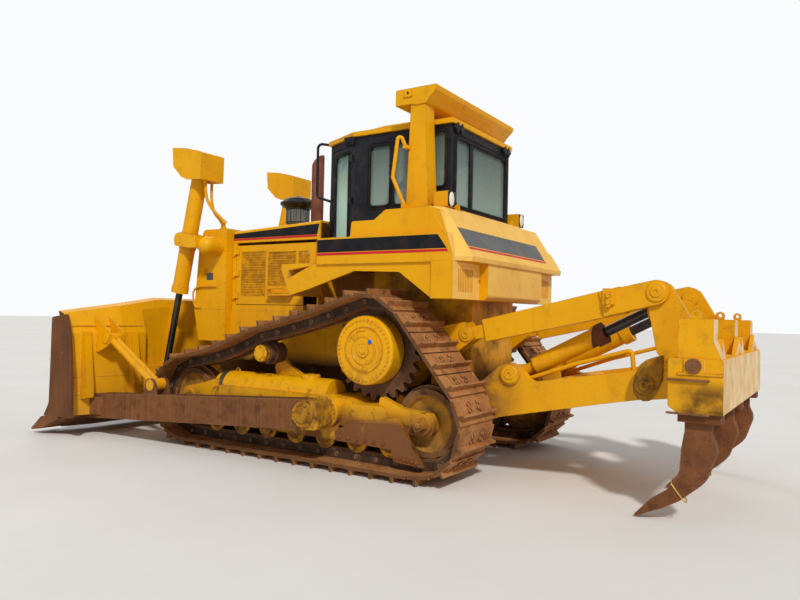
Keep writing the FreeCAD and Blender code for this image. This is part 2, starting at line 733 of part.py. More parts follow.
SLANT = math.atan2(CAB_SIDE - CAB_NARROW, CAB_FRONT - CAB_KNEE)
DOOR_W = math.hypot(CAB_SIDE - CAB_NARROW, CAB_FRONT - CAB_KNEE)
DOOR_EDGE = 40.0
CAB_DOOR_LOW = 1935.0
CAB_DOOR_HIGH = 3060.0
CAB_DOOR_T = 45.0
DOOR_GAP = 6.0


def on_slant(shape):
    """Moves a left door piece from the flat (u, thickness, z) to the cab's slanted side.

    u runs forward from the knee between the side wall and the slanted wall.
    """
    moved = shape.copy()
    moved.rotate(V(0, 0, 0), V(0, 0, 1), -math.degrees(SLANT))
    moved.translate(V(CAB_KNEE, CAB_SIDE, 0))
    return moved


def door_block(edge, low, high, inner, outer):
    """Block on the slanted wall, between two margins from its ends."""
    return on_slant(box((edge, DOOR_W - edge), (inner, outer), (low, high)))


# rear x, front x, low z, high z of the side wall's windows
SIDE_WINDOWS = [(-680.0, -440.0, 2425.0, 3015.0), (-940.0, -720.0, 2425.0, 3015.0),
                (-1285.0, -1145.0, 2560.0, 3070.0)]
# low y, high y, low z, high z
REAR_WINDOWS = [(-540.0, 540.0, 2395.0, 3020.0)]
FRONT_WINDOWS = [(-345.0, 345.0, 2420.0, 3040.0)]
WINDOW_ROUND = 45.0


def window_prism(axis, window, low, high, grow=0.0):
    """Rounded window opening in a wall square to an axis."""
    a, b, c, d = window
    r = WINDOW_ROUND + grow
    return prism(axis, [(a - grow, c - grow, r), (b + grow, c - grow, r), (b + grow, d + grow, r),
                        (a - grow, d + grow, r)], low, high)


def cab_shell():
    """Cab walls on a floor, hollow, with window and door openings."""
    outer = prism("z", cab_plan(0.0), CAB_LOW, CAB_HIGH)
    inner = prism("z", cab_plan(CAB_WALL), CAB_LOW + CAB_FLOOR, CAB_HIGH - 50.0)
    shell = outer.cut(inner)
    for window in SIDE_WINDOWS:
        shell = shell.cut(window_prism("y", window, -CAB_SIDE - 10, CAB_SIDE + 10))
    for window in REAR_WINDOWS:
        shell = shell.cut(window_prism("x", window, CAB_REAR - 10, CAB_REAR + 100))
    for window in FRONT_WINDOWS:
        shell = shell.cut(window_prism("x", window, CAB_FRONT - 100, CAB_FRONT + 10))
    opening = door_block(DOOR_EDGE, CAB_DOOR_LOW, CAB_DOOR_HIGH, -140.0, 30.0)
    shell = shell.cut(opening).cut(mirrored(opening))
    for z in CAB_HINGES:
        pin = Part.makeCylinder(HINGE_PIN_R, HINGE_TALL, V(CAB_HINGE_U, CAB_HINGE_OUT, z))
        tab = box((4.0, CAB_HINGE_U), (-2.0, CAB_HINGE_OUT + HINGE_PIN_R), (z - 12.0, z))
        tab = tab.fuse(Part.makeCylinder(HINGE_PIN_R + 3.0, 12.0, V(CAB_HINGE_U, CAB_HINGE_OUT, z - 12.0)))
        tab = tab.cut(box((DOOR_EDGE, DOOR_W), (-10.0, 0.0), (z - 20.0, z + 20.0)))
        hinge = on_slant(joined([pin, tab]))
        shell = shell.fuse(hinge).fuse(mirrored(hinge))
    return shell.removeSplitter()


CAB_HINGE_U = DOOR_EDGE + DOOR_GAP / 2
CAB_HINGE_OUT = 14.0
CAB_HINGES = (2020.0, 2480.0, 2900.0)


def door_light():
    """Opening for the left door's glass, with rounded corners."""
    light = door_block(DOOR_EDGE + 70.0, CAB_DOOR_LOW + 90.0, CAB_DOOR_HIGH - 70.0, -CAB_DOOR_T - 1, 1.0)
    upright = [e for e in light.Edges if e.BoundBox.ZLength < 1 and e.Length < CAB_DOOR_T + 5]
    return light.makeFillet(40.0, upright)


def cab_door():
    """Left cab door: a frame round its tall glass, with a handle."""
    leaf = door_block(DOOR_EDGE + DOOR_GAP, CAB_DOOR_LOW + DOOR_GAP, CAB_DOOR_HIGH - DOOR_GAP, -CAB_DOOR_T,
                      0.0)
    handle = on_slant(box((DOOR_W - DOOR_EDGE - 68.0, DOOR_W - DOOR_EDGE - 30.0), (-1.0, 30.0),
                          (2330.0, 2480.0)))
    knuckles = []
    holes = []
    for z in CAB_HINGES:
        tall = V(CAB_HINGE_U, CAB_HINGE_OUT, z)
        knuckles.append(on_slant(Part.makeCylinder(HINGE_R, HINGE_TALL, tall)))
        knuckles.append(on_slant(box((CAB_HINGE_U, CAB_HINGE_U + 50.0), (-1.0, CAB_HINGE_OUT),
                                     (z, z + HINGE_TALL))))
        holes.append(on_slant(Part.makeCylinder(HINGE_PIN_R + PIN_PLAY, HINGE_TALL + 2, tall - V(0, 0, 1))))
    clear = on_slant(box((0.0, DOOR_EDGE + DOOR_GAP), (-CAB_DOOR_T, 0.0), (CAB_DOOR_LOW, CAB_DOOR_HIGH)))
    whole = joined([leaf.cut(door_light()), handle] + knuckles).cut(clear)
    for hole in holes:
        whole = whole.cut(hole)
    return whole


def door_glass():
    """Left door's glass, filling the leaf's opening."""
    return door_light().common(door_block(DOOR_EDGE, CAB_DOOR_LOW, CAB_DOOR_HIGH, -26.0, -26.0 + GLASS_T))


def cab_glass():
    """Fixed window glass: side, rear and front panes, each in the middle of its wall."""
    mid = CAB_WALL / 2
    panes = []
    for window in SIDE_WINDOWS:
        pane = window_prism("y", window, CAB_SIDE - mid - GLASS_T / 2, CAB_SIDE - mid + GLASS_T / 2)
        panes += [pane, mirrored(pane)]
    for window in REAR_WINDOWS:
        panes.append(window_prism("x", window, CAB_REAR + mid - GLASS_T / 2, CAB_REAR + mid + GLASS_T / 2))
    for window in FRONT_WINDOWS:
        panes.append(window_prism("x", window, CAB_FRONT - mid - GLASS_T / 2,
                                  CAB_FRONT - mid + GLASS_T / 2))
    return Part.makeCompound(panes)


ROOF_TOP = 3270.0
ROOF_LIP = 25.0


def cab_roof():
    """Cab roof: a shallow cap with sloping edges."""
    low = prism("z", [(x * 1.0, y) for x, y in cab_plan(-ROOF_LIP)], CAB_HIGH, CAB_HIGH + 45.0)
    cap = prism("y", [(-1040.0, CAB_HIGH + 44.0), (215.0, CAB_HIGH + 44.0), (120.0, 3215.0, 40.0),
                      (-450.0, ROOF_TOP, 60.0),
                      (-860.0, ROOF_TOP, 20.0), (-1000.0, 3220.0)], -400.0, 400.0)
    return joined([low, cap])


def rops():
    """Roll-over frame: two posts and the wide beam behind and above the cab."""
    beam = prism("y", [(-863.0, 3290.0), (-863.0, 3435.0, 12.0), (-1300.0, 3435.0, 12.0),
                       (-1285.0, 3385.0), (-1225.0, 3330.0, 60.0),
                       (-1190.0, 3282.0, 30.0), (-1090.0, 3276.0, 40.0), (-1030.0, 3290.0)], -830.0, 830.0)
    post = prism("y", [(-1023.0, 3300.0), (-1172.0, 3300.0), (-1205.0, 2700.0), (-1225.0, 2352.0),
                       (-992.0, 2352.0)], 665.0, 820.0)
    foot = box((-1260.0, -960.0), (640.0, 830.0), (RAISED_TOP, 2356.0))
    return joined([beam, post, mirrored(post), foot, mirrored(foot)])


def seat():
    """Operator's seat: pedestal, cushion, back and arm rests."""
    base = box((-820.0, -420.0), (-180.0, 180.0), (CAB_LOW + CAB_FLOOR, 2150.0))
    cushion = prism("y", [(-860.0, 2149.0), (-330.0, 2149.0, 30.0), (-320.0, 2280.0, 50.0),
                          (-860.0, 2260.0)], -250.0, 250.0)
    back = prism("y", [(-980.0, 2200.0), (-820.0, 2200.0), (-900.0, 2820.0, 50.0),
                       (-1010.0, 2820.0, 50.0)], -240.0, 240.0)
    arms = [box((-860.0, -480.0), (side * 300.0 - 35.0, side * 300.0 + 35.0),
                (2330.0, 2385.0)) for side in (-1, 1)]
    struts = [box((-860.0, -800.0), (side * 265.0 - 60.0, side * 265.0 + 60.0),
                  (2220.0, 2370.0)) for side in (-1, 1)]
    return joined([base, cushion, back] + arms + struts)


def cab_controls():
    """Dash, side consoles and the steering and blade levers."""
    dash = prism("y", [(60.0, CAB_LOW + CAB_FLOOR), (145.0, CAB_LOW + CAB_FLOOR), (145.0, 2440.0, 20.0),
                       (60.0, 2400.0, 20.0)], -300.0, 300.0)
    left = box((-760.0, -250.0), (400.0, 520.0), (CAB_LOW + CAB_FLOOR, 2300.0))
    right = box((-760.0, -250.0), (-520.0, -400.0), (CAB_LOW + CAB_FLOOR, 2300.0))
    pieces = [dash, left, right]
    for x, y in ((-330.0, 460.0), (-330.0, -460.0), (-470.0, -460.0)):
        pieces.append(joined([rod((x, y, 2290.0), (x + 30.0, y, 2440.0), 14.0),
                              Part.makeSphere(32.0, V(x + 32.0, y, 2455.0))]))
    return Part.makeCompound([dash, joined([left, pieces[3]]), joined([right, pieces[4], pieces[5]])])


# Fenders and tank.

FENDER_Y = 1116.0
DECK_Z = 1850.0


def fender():
    """Left fender: side box with its band face, deck, raised rear box and cut-up skirt."""
    y_in = CAB_SIDE
    band_box = prism("y", [(-209.0, 1835.0), (-209.0, 2078.0, 15.0), (-1585.0, 2078.0), (-1640.0, 1900.0),
                           (-1640.0, 1835.0)],
                     900.0, FENDER_Y)
    deck = box((-1600.0, 240.0), (y_in, 905.0), (1800.0, DECK_Z))
    raised = prism("y", [(-545.0, 2070.0), (-560.0, 2225.0, 25.0), (-810.0, 2225.0),
                         (-930.0, RAISED_TOP, 20.0), (-1380.0, RAISED_TOP, 20.0),
                         (-1480.0, 2280.0), (-1610.0, 1900.0), (-1610.0, 1800.0), (-545.0, 1800.0)], y_in,
                         FENDER_Y - 60.0)
    skirt = prism("y", [(105.0, 1555.0), (-110.0, 1610.0), (-630.0, 1771.0), (-1113.0, 1755.0),
                        (-1440.0, 1530.0), (-1640.0, 1527.0),
                        (-1640.0, 1840.0), (-150.0, 1840.0), (180.0, 1700.0)], FENDER_Y - 40.0,
                        FENDER_Y - 20.0)
    wing = prism("y", [(170.0, 1700.0), (105.0, 1560.0), (125.0, 1545.0), (250.0, 1800.0), (240.0, 1850.0),
                       (-120.0, 1850.0), (-120.0, 1826.0),
                       (150.0, 1790.0)], y_in, FENDER_Y - 20.0)
    corner = box((-1647.0, -1440.0), (CAB_SIDE, FENDER_Y), (1529.0, 1840.0))
    louvre = []
    for k in range(9):
        y = 760.0 + 30.0 * k
        louvre.append(box((-1650.0, -1635.0), (y, y + 14.0), (1590.0, 1780.0)))
    body = joined([band_box, deck, raised, skirt, wing, corner])
    return body.cut(Part.makeCompound(louvre))


def rear_tank():
    """Fuel tank across the rear: slanted upper face, overhanging lip and upright lower face."""
    outline = [(CAB_REAR, 1810.0), (CAB_REAR, 2330.0), (-1400.0, 2345.0, 15.0), (-1470.0, 2320.0, 20.0),
               (-1725.0, 1925.0, 12.0), (-1725.0, 1895.0),
               (-1728.0, 1890.0), (-1728.0, 1560.0, 30.0), (-1690.0, 1527.0), (CASE_REAR, 1527.0),
               (CASE_REAR, 1810.0)]
    return prism("y", outline, -CAB_SIDE, CAB_SIDE)


def rear_lamps():
    """Rear work lamps: square housings with a recessed round lens on short brackets."""
    body = box((-1430.0, -1290.0), (700.0, 835.0), (2340.0, 2475.0))
    body = body.cut(rod((-1431.0, 767.0, 2408.0), (-1415.0, 767.0, 2408.0), 55.0))
    body = joined([body, rod((-1425.0, 767.0, 2408.0), (-1405.0, 767.0, 2408.0), 50.0),
                   box((-1375.0, -1330.0), (740.0, 790.0), (RAISED_TOP, 2345.0))])
    return both(body)


def handrails():
    """Bent rails by the cab doors, and the mirror rails at the cab's front corners."""
    rail = pipe([(-1005.0, 870.0, 2900.0), (-960.0, 915.0, 3040.0), (-905.0, 915.0, 2620.0),
                 (-1010.0, 880.0, 2370.0)], 17.0, 22.0)
    clip = [box((-1030.0, -990.0), (821.0, 890.0), (2880.0, 2910.0)),
            box((-1030.0, -990.0), (831.0, 900.0), (2340.0, 2380.0))]
    tab = box((-1030.0, -990.0), (819.0, 835.0), (2355.0, 2372.0))
    left = joined([rail] + clip + [tab]).cut(rops())
    front = pipe([(212.0, 385.0, 3150.0), (374.0, 440.0, 3178.0), (345.0, 470.0, 2604.0),
                  (185.0, 390.0, 2545.0)], 14.0, 45.0)
    front = front.cut(box((0.0, CAB_FRONT + ROOF_LIP), (0.0, 600.0), (CAB_HIGH, 3175.0))).cut(
        box((0.0, CAB_FRONT), (0.0, 600.0), (CAB_LOW, CAB_HIGH)))
    return Part.makeCompound([left, mirrored(left), front, mirrored(front)])


# Blade group.

# (x, z) of the moldboard's rear face from the bottom edge to the top edge
BLADE_BACK = [(2455.0, 235.0), (2450.0, 640.0), (2455.0, 1120.0), (2560.0, 1500.0)]
BLADE_FRONT = [(2650.0, 1525.0), (2560.0, 800.0), (2740.0, 240.0)]
BLADE_HALF = 1846.0
WING_Y = 1230.0
WING_SWEEP = 130.0
WING_DROP = 180.0
NOTCH_HALF = 190.0
NOTCH_Z = 722.0
LUG_TOP = 696.0
NOTCH_X = 2535.0


def wing_sweep(y):
    """How far the wings have swept forward at one station across the machine."""
    return WING_SWEEP * max(0.0, (abs(y) - WING_Y) / (BLADE_HALF - WING_Y))


def blade_section(y):
    """Closed (x, z) wire of the moldboard at one station across the machine."""
    sweep = wing_sweep(y)
    drop = WING_DROP * max(0.0, (abs(y) - 700.0) / (BLADE_HALF - 700.0))
    back = [V(x + sweep, y, z - drop * max(0.0, (z - 1100.0) / 400.0)) for x, z in BLADE_BACK]
    front = [V(x + sweep, y, z - drop * max(0.0, (z - 1100.0) / 425.0)) for x, z in BLADE_FRONT]
    edges = [Part.LineSegment(a, b).toShape() for a, b in zip(back, back[1:])]
    edges.append(Part.LineSegment(back[-1], front[0]).toShape())
    edges.append(Part.Arc(front[0], front[1], front[2]).toShape())
    edges.append(Part.LineSegment(front[2], back[0]).toShape())
    return Part.Wire(edges)


def loft(wires):
    """Solid with flat sides between sections."""
    return Part.makeLoft(wires, True, True)


EDGE_LOW = 42.0
END_X = 3196.0


def blade():
    """Semi-U moldboard with end plates, rear ribs, lift and arm lugs."""
    stations = [-BLADE_HALF + 25.0, -WING_Y, -700.0, 700.0, WING_Y, BLADE_HALF - 25.0]
    spans = [loft([blade_section(a), blade_section(b)]) for a, b in zip(stations, stations[1:])]
    board = joined(spans)
    notch = prism("x", [(CYLINDER_Y - NOTCH_HALF, 1700.0), (CYLINDER_Y - NOTCH_HALF, NOTCH_Z, 90.0),
                        (CYLINDER_Y + NOTCH_HALF, NOTCH_Z, 90.0),
                        (CYLINDER_Y + NOTCH_HALF, 1700.0)], 2380.0, NOTCH_X)
    board = board.cut(notch).cut(mirrored(notch))
    plate = prism("y", [(2586.0, 1316.0, 20.0), (2855.0, 1279.0, 30.0), (2861.0, 707.0),
                        (2870.0, 353.0, 40.0), (2960.0, 215.0),
                        (2440.0, 228.0), (2460.0, 680.0), (2511.0, 1117.0)], BLADE_HALF - 26.0, BLADE_HALF)
    pieces = [board, plate, mirrored(plate)]
    # y of each rib pair, and how far it stands behind the moldboard
    for y, deep in ((1640.0, 90.0), (1120.0, 110.0)):
        rear = 2450.0 + wing_sweep(y)
        rib = prism("y", [(rear + 70.0, 1150.0), (rear - deep * 0.2, 1120.0), (rear - deep, 560.0, 20.0),
                          (rear - deep, 420.0, 20.0), (rear + 70.0, 400.0)],
                    y - 45.0, y + 45.0)
        pieces += [rib, mirrored(rib)]
    for y in (CYLINDER_Y - (LUG_IN + LUG_OUT) / 2, CYLINDER_Y + (LUG_IN + LUG_OUT) / 2):
        lug = prism("y", [(2500.0, LUG_TOP), (2500.0, 420.0), (LIFT_EYE_X - 20.0, LIFT_EYE_Z - 75.0, 60.0),
                          (LIFT_EYE_X - 75.0, LIFT_EYE_Z + 20.0, 50.0), (LIFT_EYE_X - 20.0, LUG_TOP, 50.0)],
                    y - (LUG_OUT - LUG_IN) / 2, y + (LUG_OUT - LUG_IN) / 2)
        pieces += [lug, mirrored(lug)]
    for y in (BRACE_Y - BRACE_EYE - 24.0, BRACE_Y + BRACE_EYE):
        lug = prism("y", [(2560.0, 1300.0), (BRACE_HIGH[0] - 60.0, BRACE_HIGH[1] + 70.0, 70.0),
                          (BRACE_HIGH[0] - 60.0, BRACE_HIGH[1] - 70.0, 70.0),
                          (2560.0, 880.0)], y, y + 24.0)
        pieces += [lug, mirrored(lug)]
    whole = joined(pieces)
    for side in (-1, 1):
        y = side * CYLINDER_Y
        whole = whole.cut(disc(LIFT_EYE_X, LIFT_EYE_Z, LIFT_PIN_R, y - 100.0, y + 100.0))
    return whole


def blade_pins():
    """Pins of the lift rods' eyes: the lengths in the blade's lugs, each with its round head."""
    ends = []
    for edge in (-1, 1):
        inner, outer, cap = (CYLINDER_Y + edge * reach for reach in (LUG_IN, LUG_OUT, LUG_OUT + 16.0))
        pin = disc(LIFT_EYE_X, LIFT_EYE_Z, LIFT_PIN_R - PIN_PLAY, min(inner, outer), max(inner, outer))
        head = disc(LIFT_EYE_X, LIFT_EYE_Z, LIFT_PIN_R + 14.0, min(outer, cap), max(outer, cap))
        ends.append(joined([pin, head]))
    return Part.makeCompound(ends + [mirrored(end) for end in ends])


BIT_Y = 1560.0


def edge_section(y):
    """Closed (x, z) wire of the cutting edge at one station, which follows the wing's sweep."""
    sweep = wing_sweep(y)
    corners = [(2722.0, 237.0), (2705.0, 205.0), (3010.0, EDGE_LOW), (3040.0, EDGE_LOW + 4.0),
               (2765.0, 262.0)]
    spots = [V(x + sweep, y, z) for x, z in corners]
    return Part.Wire([Part.LineSegment(a, b).toShape() for a, b in zip(spots, spots[1:] + spots[:1])])


def cutting_edge():
    """Cutting edge along the blade's foot, with the pointed end bits."""
    stations = [-BIT_Y, -WING_Y, WING_Y, BIT_Y]
    edge = joined([loft([edge_section(a), edge_section(b)]) for a, b in zip(stations, stations[1:])])
    bit = prism("y", [(2722.0, 236.0), (2955.0, 210.0), (3010.0, 196.0), (END_X, EDGE_LOW + 6.0),
                      (END_X - 20.0, EDGE_LOW - 4.0),
                      (3029.0, 60.0), (2690.0, 205.0)], BIT_Y, BLADE_HALF)
    moldboard = blade()
    return Part.makeCompound([edge.cut(moldboard), bit.cut(moldboard), mirrored(bit.cut(moldboard))])


ARM_FRONT_X = 2690.0


def push_arm():
    """Left push arm: a long box beam with a chamfered nose and a trunnion cap."""
    outline = [(-620.0, 640.0, 60.0), (-620.0, 395.0, 60.0), (-385.0, 382.0), (2640.0, 186.0),
               (ARM_FRONT_X, 200.0), (ARM_FRONT_X, 238.0), (2560.0, 455.0), (-366.0, 640.0)]
    beam = prism("y", outline, ARM_INNER, ARM_OUTER)
    knee = prism("z", [(2300.0, ARM_INNER + 20.0), (2520.0, ARM_INNER - 60.0), (2520.0, 1590.0),
                       (2300.0, 1500.0)], 240.0, 420.0)
    ears = []
    for y in (BRACE_Y - BRACE_EYE - 20.0, BRACE_Y + BRACE_EYE):
        x, z = BRACE_LOW
        ears.append(prism("y", [(x - 110.0, 480.0), (x - 66.0, z + 66.0, 60.0), (x + 66.0, z + 66.0, 60.0),
                                (x + 110.0, 480.0)], y, y + 20.0))
    whole = joined([beam, knee] + ears).cut(blade())
    return whole.cut(disc(TRUNNION_X, TRUNNION_Z, TRUNNION_R, 1200.0, ARM_OUTER - 25.0))


def tilt_brace():
    """Left tilt brace: two bars from the arm up to the blade's top."""
    low = V(BRACE_LOW[0], BRACE_Y, BRACE_LOW[1])
    high = V(BRACE_HIGH[0], BRACE_Y, BRACE_HIGH[1])
    pieces = []
    for shift in (-30.0, 30.0):
        pieces.append(rod((low.x, BRACE_Y + shift, low.z), (high.x, BRACE_Y + shift, high.z), 34.0))
    pieces.append(disc(low.x, low.z, 62.0, BRACE_Y - BRACE_EYE, BRACE_Y + BRACE_EYE))
    pieces.append(disc(high.x, high.z, 60.0, BRACE_Y - BRACE_EYE, BRACE_Y + BRACE_EYE))
    return joined(pieces)


def lift_direction():
    """Unit vector from the yoke down to the lift rod's eye."""
    run = V(LIFT_EYE_X - YOKE_X, 0, LIFT_EYE_Z - YOKE_Z)
    return run.normalize()


LIFT_BELOW = 605.0
LIFT_ABOVE = 790.0
LIFT_HEAD = 60.0
LIFT_STROKE_IN = 882.0


def lift_point(distance, y):
    """Point on the lift cylinder's axis, counted down from its trunnion."""
    d = lift_direction()
    return (YOKE_X + d.x * distance, y, YOKE_Z + d.z * distance)


def lift_barrel():
    """Left lift cylinder's barrel, with its trunnion collar and rod gland."""
    y = CYLINDER_Y
    barrel = rod(lift_point(-LIFT_ABOVE, y), lift_point(LIFT_BELOW, y), LIFT_BARREL_R)
    bore = rod(lift_point(-LIFT_ABOVE + LIFT_HEAD, y), lift_point(LIFT_BELOW + 1, y), LIFT_ROD_R + 0.4)
    collar = rod(lift_point(-95.0, y), lift_point(95.0, y), COLLAR_R)
    gland = rod(lift_point(LIFT_BELOW - 75.0, y), lift_point(LIFT_BELOW, y), LIFT_BARREL_R + 8.0)
    pins = disc(YOKE_X, YOKE_Z, 42.0 - PIN_PLAY, GUARD_Y + 1.0, y + 150.0)
    return joined([barrel, collar, gland, pins]).cut(bore)


def lamp_guard():
    """Left lamp guard on the barrel's top: a box with slanted corners, open below and in front."""
    y = CYLINDER_Y
    outer = prism("y", [(2110.0, 3225.0), (2090.0, 3010.0), (1950.0, 2880.0), (1860.0, 2845.0),
                        (1630.0, 2830.0), (1625.0, 3125.0), (1690.0, 3150.0), (1900.0, 3200.0)], y - 165.0,
                        y + 165.0)
    inner = prism("y", [(2130.0, 3190.0), (2110.0, 3030.0), (1945.0, 2900.0), (1900.0, 2800.0),
                        (1660.0, 2800.0), (1660.0, 3100.0), (1900.0, 3168.0)], y - 145.0, y + 145.0)
    shell = outer.cut(inner)
    post = rod(lift_point(-LIFT_ABOVE + 10.0, y), lift_point(-LIFT_ABOVE - 60.0, y), LIFT_BARREL_R + 6.0)
    clear = rod(lift_point(-LIFT_ABOVE - 0.5, y), lift_point(0, y), LIFT_BARREL_R + 1.0)
    bridge = box((1790.0, 1960.0), (y - 150.0, y + 150.0), (2960.0, 2985.0))
    lamp = rod((2085.0, y, 3110.0), (2000.0, y, 3110.0), 70.0)
    stem = box((1990.0, 2030.0), (y - 20.0, y + 20.0), (3100.0, 3195.0))
    return joined([shell, post, bridge, lamp, stem]).cut(clear)


def lift_rod():
    """Left lift rod with its eye."""
    y = CYLINDER_Y
    eye_gap = (LIFT_EYE_X - YOKE_X) / lift_direction().x
    hidden = -LIFT_ABOVE + LIFT_HEAD + PLAY + LIFT_STROKE_IN
    bar = rod(lift_point(hidden, y), lift_point(eye_gap - 40.0, y), LIFT_ROD_R)
    eye = disc(LIFT_EYE_X, LIFT_EYE_Z, 66.0, y - 44.0, y + 44.0)
    return joined([bar, eye])


def lift_yoke():
    """Left yoke on the radiator guard's front corner, with two arms round the barrel."""
    y = CYLINDER_Y
    ball = joined([rod((1640.0, GUARD_Y, 2105.0), (1640.0, 800.0, 2105.0), 105.0),
                   Part.makeSphere(104.0, V(1640.0, 800.0, 2105.0))])
    bridge = box((1700.0, 1830.0), (GUARD_Y, y + 149.0), (2080.0, 2215.0))
    arms = []
    gap = COLLAR_R + 3.0
    for low, high in ((GUARD_Y, y - gap), (y + gap, y + gap + 50.0)):
        arms.append(prism("y", [(1780.0, 2080.0), (2060.0, 2110.0, 50.0), (2062.0, 2245.0, 60.0),
                                (1960.0, 2260.0, 60.0),
                                (1780.0, 2215.0)], low, high))
    bridge = bridge.cut(rod(lift_point(-250.0, y), lift_point(250.0, y), COLLAR_R + 32.0))
    whole = joined([ball, bridge] + arms)
    return whole.cut(disc(YOKE_X, YOKE_Z, 42.0, GUARD_Y - 10.0, y + 200.0))


HOSE_R = 17.0
# x, distance outward of the cylinder's axis, z of each hose's bends, from the barrel's head down
HOSE_ROUTES = [[(1800.0, -50.0, 2880.0), (1712.0, -72.0, 2850.0), (1722.0, -76.0, 2620.0),
                (1690.0, -100.0, 2490.0),
                (1652.0, -134.0, 2432.0), (1618.0, -158.0, 2382.0)],
               [(1800.0, 40.0, 2850.0), (1690.0, 40.0, 2830.0), (1690.0, 20.0, 2640.0),
                (1650.0, -40.0, 2510.0),
                (1603.0, -104.0, 2444.0), (1566.0, -138.0, 2388.0)]]


def lift_hoses():
    """Two hoses from each lift cylinder's head down to the radiator guard's top."""
    y = CYLINDER_Y
    hoses = []
    for route in HOSE_ROUTES:
        hoses.append(pipe([(x, y + side, z) for x, side, z in route], HOSE_R, 42.0))
    clear = joined([rod(lift_point(-LIFT_ABOVE, y), lift_point(0.0, y), LIFT_BARREL_R),
                    rod(lift_point(-LIFT_ABOVE + 10.0, y), lift_point(-LIFT_ABOVE - 60.0, y),
                        LIFT_BARREL_R + 6.0)])
    return Part.makeCompound([hose.cut(clear) for hose in hoses])


# Ripper group.


def along(a, b, distance):
    """Point in the (x, z) plane at a distance from a towards b."""
    length = math.dist(a, b)
    return (a[0] + (b[0] - a[0]) * distance / length, a[1] + (b[1] - a[1]) * distance / length)


def ripper_mount():
    """Brackets on the rear case that carry the ripper's links."""
    plates = []
    for y in (LINK_Y - EAR_OUT, LINK_Y + EAR_IN):
        x, z = UPPER_FRONT
        ear = prism("y", [(x - 95.0, z - 20.0, 30.0), (x + 10.0, z + 110.0, 30.0), (x + 280.0, z + 60.0),
                          (x + 280.0, z - 300.0), (x + 60.0, z - 140.0)],
                    y, y + EAR_OUT - EAR_IN)
        plates.append(ear)
        x, z = LOWER_FRONT
        low = prism("y", [(x - 80.0, z - 60.0, 60.0), (x - 80.0, z + 80.0, 60.0), (x + 240.0, z + 460.0),
                          (x + 280.0, z + 300.0), (x + 280.0, z - 40.0)],
                    y, y + EAR_OUT - EAR_IN)
        plates.append(low)
    backs = box((-1300.0, -1235.0), (CASE_Y - 30.0, LINK_Y + EAR_OUT), (520.0, 1300.0))
    side = joined(plates + [backs])
    x, z = UPPER_FRONT
    side = side.fuse(disc(x, z, 45.0 - PIN_PLAY, LINK_Y - EAR_OUT, LINK_Y + EAR_OUT))
    x, z = LOWER_FRONT
    side = side.fuse(disc(x, z, 50.0 - PIN_PLAY, LINK_Y - EAR_OUT, LINK_Y + EAR_OUT))
    side = side.removeSplitter().cut(box((-1500.0, 0.0), (-CASE_Y, CASE_Y), (0.0, 2000.0)))
    return both(side)


def ripper_links():
    """The two upper links: box beams with round eyes."""
    a, b = UPPER_FRONT, UPPER_REAR
    y0, y1 = LINK_Y - 60.0, LINK_Y + 60.0
    ux, uz = (b[0] - a[0]) / math.dist(a, b), (b[1] - a[1]) / math.dist(a, b)

    def at(distance, up):
        """Point along the link and square to it."""
        return (a[0] + ux * distance + uz * up, a[1] + uz * distance - ux * up)

    length = math.dist(a, b)
    body = prism("y", [at(170.0, -95.0), at(length - 260.0, -105.0), at(length - 260.0, 105.0),
                       at(170.0, 95.0)], y0, y1)
    neck = prism("y", [at(20.0, -52.0), at(180.0, -60.0), at(180.0, 60.0), at(20.0, 52.0)],
                 LINK_Y - LINK_EYE, LINK_Y + LINK_EYE)
    fork = []
    for lo, hi in ((y0 - 18.0, y0 + 16.0), (y1 - 16.0, y1 + 18.0)):
        fork.append(prism("y", [at(length - 420.0, -98.0), at(length, -92.0), at(length, 92.0),
                                at(length - 420.0, 100.0)], lo, hi))
        fork.append(disc(b[0], b[1], 92.0, lo, hi))
    eye = disc(a[0], a[1], 72.0, LINK_Y - LINK_EYE, LINK_Y + LINK_EYE)
    whole = joined([body, neck, eye] + fork)
    whole = whole.cut(disc(a[0], a[1], 45.0, y0 - 50.0, y1 + 50.0)).cut(disc(b[0], b[1], 45.0, y0 - 50.0,
        y1 + 50.0))
    return both(whole)


RAIL_Y = 520.0


